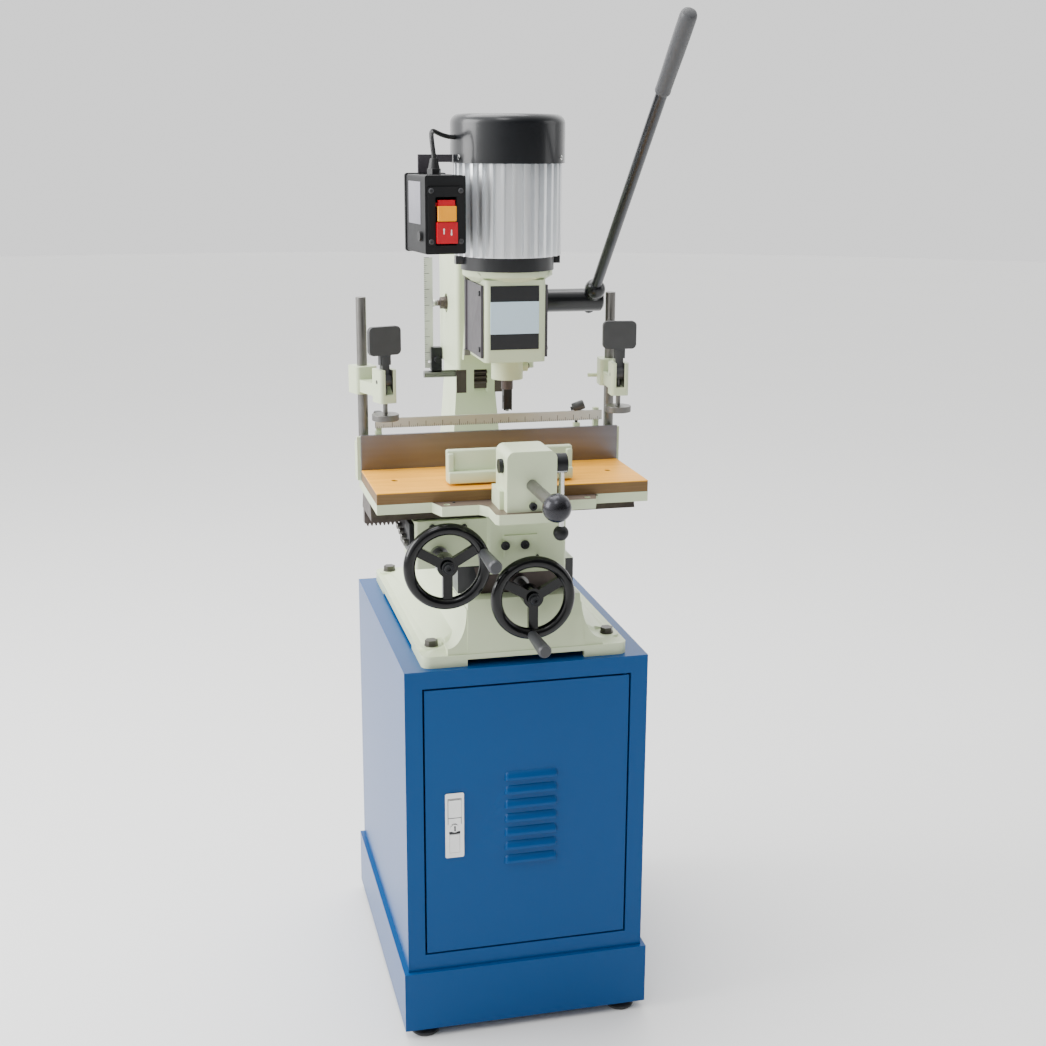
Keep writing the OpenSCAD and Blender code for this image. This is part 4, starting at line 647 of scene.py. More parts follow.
def turned(
    profile: Sequence[tuple[float, float]], start: Point, along: Point, steps: int = 40
) -> bmesh.types.BMesh:
    """Turns a profile on its axis, as on a lathe.

    Args:
        profile: Radius and height of each point, in mm, from foot to tip.
        start: Place of the foot, in mm.
        along: Direction of the axis.
        steps: Number of facets round the axis.

    Returns:
        The turned shape.
    """
    mesh = bmesh.new()
    points = [mesh.verts.new((radius * MM, 0.0, height * MM)) for radius, height in profile]
    lines = [mesh.edges.new(pair) for pair in zip(points, points[1:])]
    bmesh.ops.spin(
        mesh, geom=points + lines, cent=(0, 0, 0), axis=(0, 0, 1), dvec=(0, 0, 0),
        angle=2 * math.pi, steps=steps, use_merge=True, use_duplicate=False,
    )
    bmesh.ops.remove_doubles(mesh, verts=mesh.verts, dist=1e-6)
    turn = Vector(along).to_track_quat("Z", "Y").to_matrix().to_4x4()
    place = Matrix.Translation(Vector(start) * MM) @ turn
    bmesh.ops.transform(mesh, matrix=place, verts=mesh.verts)
    return mesh


def slab(
    low: Point,
    high: Point,
    edge: float = 0.0,
    turn: float = 0.0,
    about: Point = (0.0, 0.0, 0.0),
    segments: int = 2,
) -> bmesh.types.BMesh:
    """Makes a block with rounded edges.

    Args:
        low: Its lowest corner, in mm.
        high: Its highest corner, in mm.
        edge: Radius of its edges, in mm.
        turn: Turn about the upright through `about`, in degrees.
        about: Where that upright stands, in mm.
        segments: Steps in each rounded edge.

    Returns:
        The block.
    """
    mesh = bmesh.new()
    size = (Vector(high) - Vector(low)) * MM
    middle = (Vector(high) + Vector(low)) * MM / 2
    bmesh.ops.create_cube(mesh, size=1.0)
    bmesh.ops.scale(mesh, vec=size, verts=mesh.verts)
    if edge > 0:
        bmesh.ops.bevel(
            mesh, geom=mesh.edges[:], offset=edge * MM, offset_type="OFFSET", affect="EDGES",
            segments=segments, profile=0.5, material=-1,
        )
    pivot = Matrix.Translation(Vector(about) * MM)
    swing = pivot @ Matrix.Rotation(math.radians(turn), 4, "Z") @ pivot.inverted()
    bmesh.ops.transform(mesh, matrix=swing @ Matrix.Translation(middle), verts=mesh.verts)
    return mesh


def gather(meshes: Iterable[bmesh.types.BMesh]) -> bmesh.types.BMesh:
    """Puts several shapes into one.

    Args:
        meshes: The shapes, which are freed.

    Returns:
        The one shape.
    """
    whole = bmesh.new()
    for mesh in meshes:
        data = bpy.data.meshes.new("part")
        mesh.to_mesh(data)
        mesh.free()
        whole.from_mesh(data)
        bpy.data.meshes.remove(data)
    return whole


def cut_mesh(
    mesh: bmesh.types.BMesh, point: Sequence[float], way: Sequence[float], clear: bool = False
) -> None:
    """Cuts a shape along a plane, and can cap it after taking one side away.

    Args:
        mesh: The shape.
        point: A point of the plane, in metres.
        way: Normal of the plane.
        clear: True to take away what lies on the normal's side.
    """
    everything = mesh.verts[:] + mesh.edges[:] + mesh.faces[:]
    bmesh.ops.bisect_plane(
        mesh, geom=everything, dist=ON_PLANE, plane_co=point, plane_no=way, clear_outer=clear
    )
    if clear:
        rim = [edge for edge in mesh.edges if edge.is_boundary]
        bmesh.ops.holes_fill(mesh, edges=rim, sides=0)


def cap_screw(place: Point, along: Point, head_d: float, head_h: float) -> bmesh.types.BMesh:
    """Makes the head of a socket screw.

    Args:
        place: Middle of its seat, in mm.
        along: Direction that the head stands in.
        head_d: Diameter of the head, in mm.
        head_h: Height of the head, in mm.

    Returns:
        The head with its socket.
    """
    r = head_d / 2
    return turned(
        [
            (0, 0), (r, 0), (r, head_h - 0.7), (r - 0.7, head_h), (r * 0.5, head_h),
            (r * 0.44, head_h * 0.4), (0, head_h * 0.4),
        ],
        place, along, 24,
    )


class Workshop:
    """Holds the built materials and the objects made so far."""

    def __init__(self) -> None:
        """Starts with nothing made."""
        self.materials: dict[str, bpy.types.Material] = {}
        self.made: list[bpy.types.Object] = []

    def material(self, finish: Finish) -> bpy.types.Material:
        """Builds a finish once.

        Args:
            finish: The finish.

        Returns:
            Its material.
        """
        if finish.name not in self.materials:
            self.materials[finish.name] = finish.build()
        return self.materials[finish.name]

    def paint(self, obj: bpy.types.Object, *finishes: Finish) -> None:
        """Puts finishes on an object's slots, the first one on every face.

        Args:
            obj: The piece.
            finishes: One finish for each slot.
        """
        slots = obj.data.materials
        numbers = [polygon.material_index for polygon in obj.data.polygons]
        slots.clear()
        for finish in finishes:
            slots.append(self.material(finish))
        for polygon, number in zip(obj.data.polygons, numbers):
            polygon.material_index = number if number < len(finishes) else 0

    def keep(
        self,
        name: str,
        mesh: bmesh.types.BMesh,
        body: str,
        slot: str,
        *finishes: Finish,
        crease: float = 35.0,
        choose: Optional[Callable[[Vector, Vector], int]] = None,
        copied: bool = False,
    ) -> bpy.types.Object:
        """Turns a bmesh into a finished piece on its body.

        Args:
            name: Name of the piece.
            mesh: Its shape, in metres, in the machine's frame.
            body: The body that carries it.
            slot: The record's material slot; not used.
            finishes: Its finishes.
            crease: Angle in degrees past which an edge stays sharp.
            choose: Gives the number of the finish for a face's middle and normal.
            copied: True for the copy of a solid, whose faces already point outwards.

        Returns:
            The new object.
        """
        if not copied:
            bmesh.ops.recalc_face_normals(mesh, faces=mesh.faces)
        mesh.normal_update()
        for face in mesh.faces:
            face.material_index = choose(face.calc_center_median(), face.normal) if choose else 0
        data = bpy.data.meshes.new(name)
        mesh.to_mesh(data)
        mesh.free()
        data.shade_smooth()
        data.set_sharp_from_angle(angle=math.radians(crease))
        obj = bpy.data.objects.new(name, data)
        bpy.context.scene.collection.objects.link(obj)
        self.paint(obj, *finishes)
        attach(obj, body)
        self.made.append(obj)
        log.info("%s: %d faces on %s", name, len(data.polygons), body)
        return obj

    def dress(self, node: str, *finishes: Finish) -> None:
        """Leaves a solid as it is and gives it its finish.

        Args:
            node: Name of the solid.
            finishes: Its finishes.
        """
        obj = frame["nodes"][node]
        obj.data.materials.clear()
        for finish in finishes:
            obj.data.materials.append(self.material(finish))
        log.info("%s: dressed", node)

    def soften(
        self,
        node: str,
        slot: str,
        radius_mm: float,
        *finishes: Finish,
        segments: int = 3,
        limit: float = 32.0,
        cuts: Sequence[tuple[Point, Point]] = (),
        choose: Optional[Callable[[Vector, Vector], int]] = None,
        adjust: Optional[Callable[[bmesh.types.BMesh], None]] = None,
    ) -> bpy.types.Object:
        """Replaces a solid by a copy whose edges are rounded.

        Args:
            node: Name of the solid.
            slot: The record's material slot.
            radius_mm: Radius of the rounded edges.
            finishes: Its finishes.
            segments: Steps in each rounded edge.
            limit: Angle in degrees past which an edge is rounded.
            cuts: A point and a normal, in metres, of each plane that parts two finishes.
            choose: Gives the number of the finish for a face's middle and normal.
            adjust: Changes the merged copy before its edges are rounded.

        Returns:
            The new object.
        """
        mesh = bmesh.new()
        mesh.from_mesh(frame["nodes"][node].data)
        bmesh.ops.remove_doubles(mesh, verts=mesh.verts, dist=WELD)
        bmesh.ops.dissolve_limit(
            mesh, angle_limit=math.radians(0.6), verts=mesh.verts, edges=mesh.edges
        )
        if adjust is not None:
            adjust(mesh)
        for place, normal in cuts:
            cut_mesh(mesh, place, normal)
        body = frame["nodes"][node]["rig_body"]
        obj = self.keep(
            node + "_rounded", mesh, body, slot, *finishes, choose=choose, copied=True
        )
        bevel = obj.modifiers.new("edges", "BEVEL")
        bevel.width = radius_mm * MM
        bevel.segments = segments
        bevel.limit_method = "ANGLE"
        bevel.angle_limit = math.radians(limit)
        bevel.use_clamp_overlap = True
        bevel.harden_normals = True
        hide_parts(node)
        return obj


# ---------------------------------------------------------------- sub-assemblies


@dataclass
class Stand:
    """The sheet-metal cabinet with its plinth, feet, door and latch.

    Attributes:
        shop: Keeps the materials and the pieces.
        sheet_edge: Radius of a folded edge, in mm.
        latch_x: Middle of the latch.
        latch_front: Front of the latch plate.
        window: Lowest and highest edge of the raised square on the latch.
        hood_feet: Height of the lip of the highest and of the lowest hood.
        hood_pitch: Distance from one hood to the next.
        hood_x: Middle of the hoods on the solid, and where they are drawn.
        hood_w: Half the width of a hood on the solid, and as it is drawn.
        hood_r: Radius of a hood's curved back.
        hood_out: How far a hood stands out of the door.
        hood_lap: How far a hood laps over the solid's at each end.
        hood_end: Radius of a hood's ends.
        hood_lip: Height of the hood's lip.
        slot_shadow_h: Height of the dark strip of painted shadow under a hood.
        door_front: Front of the door.
    """

    shop: Workshop
    sheet_edge: float = 1.2
    latch_x: float = -114.0
    latch_front: float = -249.5
    window: tuple[float, float] = (368.0, 396.0)
    hood_feet: tuple[float, float] = (420.0, 282.0)
    hood_pitch: float = 23.0
    hood_x: tuple[float, float] = (4.0, 5.5)
    hood_w: tuple[float, float] = (42.0, 38.6)
    hood_r: float = 14.6
    hood_out: float = 5.8
    hood_lap: float = 2.6
    hood_end: float = 5.4
    hood_lip: float = 1.4
    slot_shadow_h: float = 2.2
    door_front: float = -247.5

    def narrow_hoods(self, mesh: bmesh.types.BMesh) -> None:
        """Draws the solid's flat hoods in, so that the curved ones cover them.

        Args:
            mesh: The merged copy of the door.
        """
        top, foot = self.hood_feet
        old_x, new_x = self.hood_x
        old_w, new_w = self.hood_w
        for vert in mesh.verts:
            x, y, z = vert.co / MM
            beside = abs(x - old_x) < old_w + 1
            if beside and y < self.door_front + 2 and foot - 1 < z < top + self.hood_r:
                vert.co.x = (new_x + (x - old_x) * new_w / old_w) * MM

    def hood(self, foot: float) -> bmesh.types.BMesh:
        """Presses one hood: a piece of a wide tube with rounded ends, open below.

        Args:
            foot: Height of its lip, in mm.

        Returns:
            The hood, with its openings closed by flat faces; `hoods` paints the one below dark as shade.
        """
        mesh = bmesh.new()
        width = 2 * (self.hood_w[1] + self.hood_lap)
        bmesh.ops.create_cone(
            mesh, cap_ends=True, segments=72, radius1=self.hood_r * MM, radius2=self.hood_r * MM,
            depth=width * MM,
        )
        rims = [e for e in mesh.edges if abs(e.verts[0].co.z - e.verts[1].co.z) < 1e-6]
        bmesh.ops.bevel(
            mesh, geom=rims, offset=self.hood_end * MM, offset_type="OFFSET", affect="EDGES",
            segments=6, profile=0.5, material=-1,
        )
        back = self.door_front - self.hood_out + self.hood_r
        middle = Vector((self.hood_x[1], back, foot + self.hood_lip)) * MM
        place = Matrix.Translation(middle) @ Axis.X.matrix()
        bmesh.ops.transform(mesh, matrix=place, verts=mesh.verts)
        sunk = 0.4
        cut_mesh(mesh, Vector((0, self.door_front + sunk, 0)) * MM, (0, 1, 0), clear=True)
        cut_mesh(mesh, Vector((0, 0, foot)) * MM, (0, 0, -1), clear=True)
        return mesh

    def hoods(self) -> None:
        """Covers the door's flat hoods with curved ones over dark strips of painted shadow, and paints their
        undersides dark as shade.
        """
        top, foot = self.hood_feet
        count = round((top - foot) / self.hood_pitch) + 1
        feet = [top - i * self.hood_pitch for i in range(count)]
        # The hoods' flat undersides get the dark rubber finish: painted shade inside the open hood.
        self.shop.keep(
            "louvre_hoods", gather(self.hood(z) for z in feet), "door", "cabinet_enamel",
            CABINET_ENAMEL, RUBBER_AND_PAINTED_SHADE, choose=lambda middle, normal: 1 if normal.z < -0.9 else 0,
        )
        left, right = self.hood_x[1] - self.hood_w[1], self.hood_x[1] + self.hood_w[1]
        front, back = self.door_front - 0.4, self.door_front + 0.3
        # Dark strips of painted shadow stand in the slots under the hoods.
        slots = [slab((left, front, z - self.slot_shadow_h), (right, back, z)) for z in feet]
        self.shop.keep("louvre_slot_shadows", gather(slots), "door", "cabinet_enamel", RUBBER_AND_PAINTED_SHADE)

    def latch_trim(self) -> None:
        """Adds the dark seams, and dark slabs of painted shade for the keyhole and the shadow gap of the
        latch.
        """
        x, y = self.latch_x, self.latch_front
        low, high = self.window
        seams = [
            slab((x - 10.6, y - 0.3, low - 12), (x - 9.8, y + 0.4, high + 2)),
            slab((x + 9.8, y - 0.3, low - 12), (x + 10.6, y + 0.4, high + 2)),
            slab((x - 10.6, y - 0.3, high + 1.4), (x + 10.6, y + 0.4, high + 2.2)),
            slab((x - 10.6, y - 0.3, low - 2.2), (x + 10.6, y + 0.4, low - 1.4)),
            # Painted shadow under the flap's top edge, then painted shade for the keyhole.
            slab((x - 8.6, y - 0.5, 340.8), (x + 8.6, y - 0.1, 344.0)),
            slab((x - 1.1, y - 2.5, 345.6), (x + 1.1, y - 1.2, 353.4)),
        ]
        self.shop.keep("latch_seams_and_painted_shade", gather(seams), "door", "plated_steel", BLACK_OXIDE)

    def build(self) -> None:
        """Rounds the sheet's edges and puts the enamel on."""
        for node in ("cabinet_shell", "cabinet_plinth"):
            self.shop.soften(node, "cabinet_enamel", self.sheet_edge, CABINET_ENAMEL, limit=50)
        self.shop.soften(
            "cabinet_door", "cabinet_enamel", self.sheet_edge, CABINET_ENAMEL, limit=50,
            adjust=self.narrow_hoods,
        )
        self.hoods()
        self.shop.soften("levelling_feet", "rubber_feet", 1.0, RUBBER_AND_PAINTED_SHADE, limit=60)
        self.shop.soften("door_latch", "plated_steel", 0.5, NICKEL_PLATE, limit=50)
        self.shop.soften("latch_flap", "plated_steel", 0.5, NICKEL_PLATE, limit=50)
        self.latch_trim()


@dataclass
class BaseAndColumn:
    """The base casting with its cross ways, and the column that carries the head.

    Attributes:
        shop: Keeps the materials and the pieces.
        edge: Radius of a casting's edge, in mm.
        guide_z: Foot of the dovetail, in metres.
        strip: Where the bare strips of the dovetail begin on each side, in metres.
        guide_y: Back of the dovetail's sliding faces, in metres.
        way_z: Foot of the cross ways, in metres.
        way_y: Front of what is bare on them, in metres.
        flank: Half the width of the pedestal where its foot curves out, in mm.
        flare: Width and height of that curve, in mm.
        flare_foot: Height of the curve's foot, in mm.
        flare_y: Front and back end of the curve, in mm.
        flare_slope: Tangent of the pedestal front's lean.
    """

    shop: Workshop
    edge: float = 3.0
    guide_z: float = 0.957
    strip: float = 0.0235
    guide_y: float = 0.1262
    way_z: float = 0.7005
    way_y: float = -0.2315
    flank: float = 88.5
    flare: tuple[float, float] = (31.0, 56.0)
    flare_foot: float = 630.0
    flare_y: tuple[float, float] = (-234.6, 205.0)
    flare_slope: float = 0.19

    def flares(self) -> None:
        """Curves the pedestal's foot out into the base on both sides."""
        wide, tall = self.flare
        front, back = self.flare_y
        sunk = 14.0
        curve = [
            (self.flank + wide * (1 - math.cos(a)), self.flare_foot + tall * (1 - math.sin(a)))
            for a in (math.pi / 2 * i / 12 for i in range(13))
        ]
        outline = [(self.flank - 6, self.flare_foot - sunk), (self.flank - 6, curve[0][1])] + curve
        outline.append((curve[-1][0], self.flare_foot - sunk))
        toe = Vector((0, front, self.flare_foot - sunk)) * MM
        lean = Vector((0, -1, self.flare_slope)).normalized()
        pieces = []
        for side in (-1, 1):
            mesh = bmesh.new()
            corners = [mesh.verts.new(Vector((side * x, front, z)) * MM) for x, z in outline]
            grown = bmesh.ops.extrude_face_region(mesh, geom=[mesh.faces.new(corners)])
            far = [item for item in grown["geom"] if isinstance(item, bmesh.types.BMVert)]
            bmesh.ops.translate(mesh, vec=(0, (back - front) * MM, 0), verts=far)
            cut_mesh(mesh, toe, lean, clear=True)
            pieces.append(mesh)
        self.shop.keep("base_flares", gather(pieces), "stand", "casting_paint", CASTING_ENAMEL)

    def column_finish(self, middle: Vector, normal: Vector) -> int:
        """Bare steel on the dovetail's sliding faces, enamel elsewhere."""
        sliding = middle.z > self.guide_z - 0.5 * MM and middle.y < self.guide_y
        side = abs(middle.x) > self.strip
        return 1 if sliding and side and abs(normal.z) < 0.7 else 0

    def way_finish(self, middle: Vector, normal: Vector) -> int:
        """Bare steel on the cross ways, enamel elsewhere."""
        return 1 if middle.z > self.way_z and middle.y > self.way_y else 0

    def build(self) -> None:
        """Rounds the castings and dresses the fittings."""
        shop = self.shop
        self.flares()
        shop.soften(
            "base_casting", "casting_paint", self.edge, CASTING_ENAMEL, WORN_STEEL,
            choose=self.way_finish,
        )
        shop.soften(
            "column", "casting_paint", 1.5, CASTING_ENAMEL, WORN_STEEL,
            cuts=(((self.strip, 0, 0), (1, 0, 0)), ((-self.strip, 0, 0), (1, 0, 0))),
            choose=self.column_finish,
        )
        shop.soften("base_bolts", "bolt_steel", 0.8, DARK_BOLT, limit=50)
        shop.soften(
            "column_fittings", "bare_steel", 0.3, WORN_STEEL, TURNED_STEEL, limit=60,
            choose=lambda middle, normal: 1 if middle.x < -0.0115 else 0,
        )


@dataclass
class SpindleHead:
    """The head casting with its chuck chamber, chisel, motor and feed lever.

    Attributes:
        shop: Keeps the materials and the pieces.
        edge: Radius of a casting's edge, in mm.
        front: Front of the head, in mm.
        label: Left, right, lowest and highest edge of the blank label plate, in mm.
        bands: Where its dark bands end, in mm.
        pivot: Place of the feed lever on its shaft, in mm.
        lean: How far the lever leans forward, in degrees.
        reach: Where the grip begins and ends along the lever, in mm.
        ball_r: Radius of the lever's ball boss, in mm.
        cap_r: Radius of the motor's cap at its screws, in mm.
        spindle_y: Place of the spindle and of the motor above it, in mm.
    """

    shop: Workshop
    edge: float = 4.0
    front: float = -158.0
    label: tuple[float, float, float, float] = (-38.0, 35.0, 1061.0, 1154.0)
    bands: tuple[float, float] = (1084.0, 1131.0)
    pivot: Point = (178.0, 58.0, 1108.0)
    lean: float = 46.0
    reach: tuple[float, float] = (455.0, 595.0)
    ball_r: float = 16.9
    cap_r: float = 83.58
    spindle_y: float = -103.0

    def along_lever(self, distance: float) -> Point:
        """Returns the point that far up the lever, in mm."""
        turn = math.radians(self.lean)
        x, y, z = self.pivot
        return (x, y - distance * math.sin(turn), z + distance * math.cos(turn))

    def lever_way(self) -> Point:
        """Returns the direction of the lever."""
        turn = math.radians(self.lean)
        return (0.0, -math.sin(turn), math.cos(turn))

    def label_plate(self) -> None:
        """Adds the blank plate: pale blue between two dark bands."""
        left, right, low, high = self.label
        y = self.front
        first, second = self.bands
        plate = slab((left, y - 0.8, low), (right, y + 0.4, high), 0.3, segments=1)
        for z in self.bands:
            cut_mesh(plate, (0, 0, z * MM), (0, 0, 1))
        self.shop.keep(
            "label_plate", plate, "head", "casting_paint", LABEL_BLUE, LABEL_BLACK,
            choose=lambda middle, normal: 0 if first * MM < middle.z < second * MM else 1,
        )

    def grip(self) -> None:
        """Replaces the grip by one with a swell, a collar and a domed end."""
        start, end = self.reach
        length = end - start
        profile = [
            (0, 0), (9.6, 0), (10.8, 0.8), (11.3, 2.4), (11.2, 5), (10.9, 8), (11.1, 30),
            (11.7, 70), (11.9, 105), (11.8, length - 9), (11.3, length - 4.6),
            (10.0, length - 1.8), (7.0, length - 0.5), (0, length - 0.1),
        ]
        mesh = turned(profile, self.along_lever(start), self.lever_way(), 56)
        obj = self.shop.keep("lever_grip_moulded", mesh, "lever", "black_rubber", GRIP_VINYL)
        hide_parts("lever_grip")

    def lever_boss(self) -> None:
        """Adds the ball boss that the lever screws into."""
        r = self.ball_r
        turns = [math.pi * i / 18 for i in range(1, 18)]
        ball = [(0, -r)] + [(r * math.sin(a), -r * math.cos(a)) for a in turns] + [(0, r)]
        mesh = turned(ball, self.along_lever(27), self.lever_way(), 48)
        self.shop.keep("lever_boss", mesh, "lever", "hub_black", MOTOR_BLACK)

    def fasteners(self) -> None:
        """Adds the small screws of the motor's cap and the chuck doors."""
        height = 1335
        cap = []
        for turn in (-38, 82, 202):
            x, y = math.cos(math.radians(turn)), math.sin(math.radians(turn))
            seat = (self.cap_r * x, self.spindle_y + self.cap_r * y, height)
            cap.append(cap_screw(seat, (x, y, 0), 7, 2.6))
        self.shop.keep("cap_screws", gather(cap), "head", "plated_steel", NICKEL_PLATE)
        for side, body in ((-1, "left_chuck_door"), (1, "right_chuck_door")):
            heads = [
                cap_screw((side * 50.2, -141, z), (side, 0, 0), 8, 2.2) for z in (1060, 1142)
            ]
            name = body + "_screws"
            self.shop.keep(name, gather(heads), body, "dark_steel", BLACK_OXIDE)

    def build(self) -> None:
        """Rounds the casting, then dresses the motor and what the head holds."""
        shop = self.shop
        shop.soften("head_casting", "casting_paint", self.edge, CASTING_ENAMEL)
        shop.soften("chuck_door_left", "dark_steel", 0.8, DARK_ENAMEL)
        shop.soften("chuck_door_right", "dark_steel", 0.8, DARK_ENAMEL)
        shop.soften("head_fasteners", "bolt_steel", 0.4, DRAWN_STEEL, limit=50)
        shop.soften(
            "mortise_chisel", "black_steel", 0.4, BLACK_OXIDE, WORN_STEEL, limit=50,
            choose=lambda middle, normal: 1 if middle.z > 0.9935 else 0,
        )
        for node in ("auger_bit", "drill_chuck", "motor_shaft"):
            shop.dress(node, TURNED_STEEL)
        shop.soften("motor_flange", "motor_black", 1.5, MOTOR_BLACK)
        shop.soften("motor_housing", "motor_aluminium", 0.8, MOTOR_ALUMINIUM, limit=50)
        shop.dress("motor_inner_parts", WINDINGS)
        shop.dress("cooling_fan", GRIP_PLASTIC)
        shop.soften("fan_cover", "motor_black", 0.5, MOTOR_BLACK, limit=50)
        shop.soften("pinion_shaft", "dark_steel", 0.3, WORN_STEEL, limit=60)
        shop.soften("lever_hub", "hub_black", 1.2, MOTOR_BLACK)
        shop.dress("feed_lever", BLUED_STEEL)
        shop.soften("depth_scale", "scale_steel", 0.3, DEPTH_RULE, limit=60)
        shop.soften("depth_stop_block", "black_steel", 0.8, BLACK_OXIDE)
        self.label_plate()
        self.grip()
        self.lever_boss()
        self.fasteners()


@dataclass
class SwitchGear:
    """The switch box beside the motor, its paddle, its key and the motor lead.

    Attributes:
        shop: Keeps the materials and the pieces.
        corner: Where the box's front stands, in mm.
        turn: Turn of the box about its upright, in degrees.
    """

    shop: Workshop
    corner: Point = (-114.0, -215.0, 1205.0)
    turn: float = 7.0

    def place(self, x: float, y: float, z: float) -> Point:
        """Returns the machine's coordinates of a point of the box, in mm."""
        a = math.radians(self.turn)
        ox, oy, oz = self.corner
        return (
            ox + x * math.cos(a) - y * math.sin(a),
            oy + x * math.sin(a) + y * math.cos(a),
            oz + z,
        )

    def block(self, low: Point, high: Point, edge: float) -> bmesh.types.BMesh:
        """Returns a block in the box's own coordinates, in mm."""
        ox, oy, oz = self.corner
        return slab(
            (low[0] + ox, low[1] + oy, low[2] + oz), (high[0] + ox, high[1] + oy, high[2] + oz),
            edge, self.turn, self.corner,
        )

    def front(self) -> tuple[float, float, float]:
        """Returns the direction that the front of the box faces."""
        a = math.radians(self.turn)
        return (math.sin(a), -math.cos(a), 0.0)

    def trim(self) -> None:
        """Adds the cover's screws and the blank plate on the box's side."""
        screws = [
            cap_screw(self.place(x, -2.3, z), self.front(), 7.4, 1.6)
            for x in (-21.5, 21.5)
            for z in (17.5, 86.5)
        ]
        self.shop.keep("cover_screws", gather(screws), "head", "switch_black", GRIP_PLASTIC)
        plate = self.block((-29.9, 22, 40), (-29.3, 78, 98), 0.2)
        self.shop.keep("blank_side_plate", plate, "head", "switch_black", BLANK_PLATE)

    def arrows(self) -> None:
        """Prints the paddle's two arrows, one up and one down."""
        middle, face = 31, -9.17
        pieces = []
        for x, way in ((-5.4, 1), (5.4, -1)):
            pieces.append(self.block((x - 0.7, -9.35, 28), (x + 0.7, -9.0, 34), 0.0))
            head = bmesh.new()
            bmesh.ops.create_cone(
                head, cap_ends=True, segments=3, radius1=1.9 * MM, radius2=1.9 * MM,
                depth=0.35 * MM,
            )
            turn = Matrix.Rotation(math.radians(self.turn), 4, "Z") @ Matrix.Rotation(
                math.pi / 2, 4, "X"
            )
            if way < 0:
                turn = turn @ Matrix.Rotation(math.pi, 4, "Z")
            spot = Vector(self.place(x, face, middle + way * 3.4)) * MM
            bmesh.ops.transform(head, matrix=Matrix.Translation(spot) @ turn, verts=head.verts)
            pieces.append(head)
        self.shop.keep("paddle_arrows", gather(pieces), "paddle", "paddle_red", PRINT_WHITE)

    def build(self) -> None:
        """Dresses the electrics and adds the screws, the blank plate and the arrows."""
        shop = self.shop
        shop.soften("switch_bracket", "dark_steel", 0.8, DARK_ENAMEL)
        shop.soften("switch_box", "switch_black", 1.0, BOX_COATING)
        shop.soften("switch_paddle", "paddle_red", 1.2, SWITCH_RED)
        shop.soften("switch_key", "key_yellow", 1.2, SWITCH_YELLOW)
        shop.soften("switch_fittings", "black_plastic", 0.6, LEAD_RUBBER, limit=50)
        shop.dress("motor_lead", LEAD_RUBBER)
        self.trim()
        self.arrows()


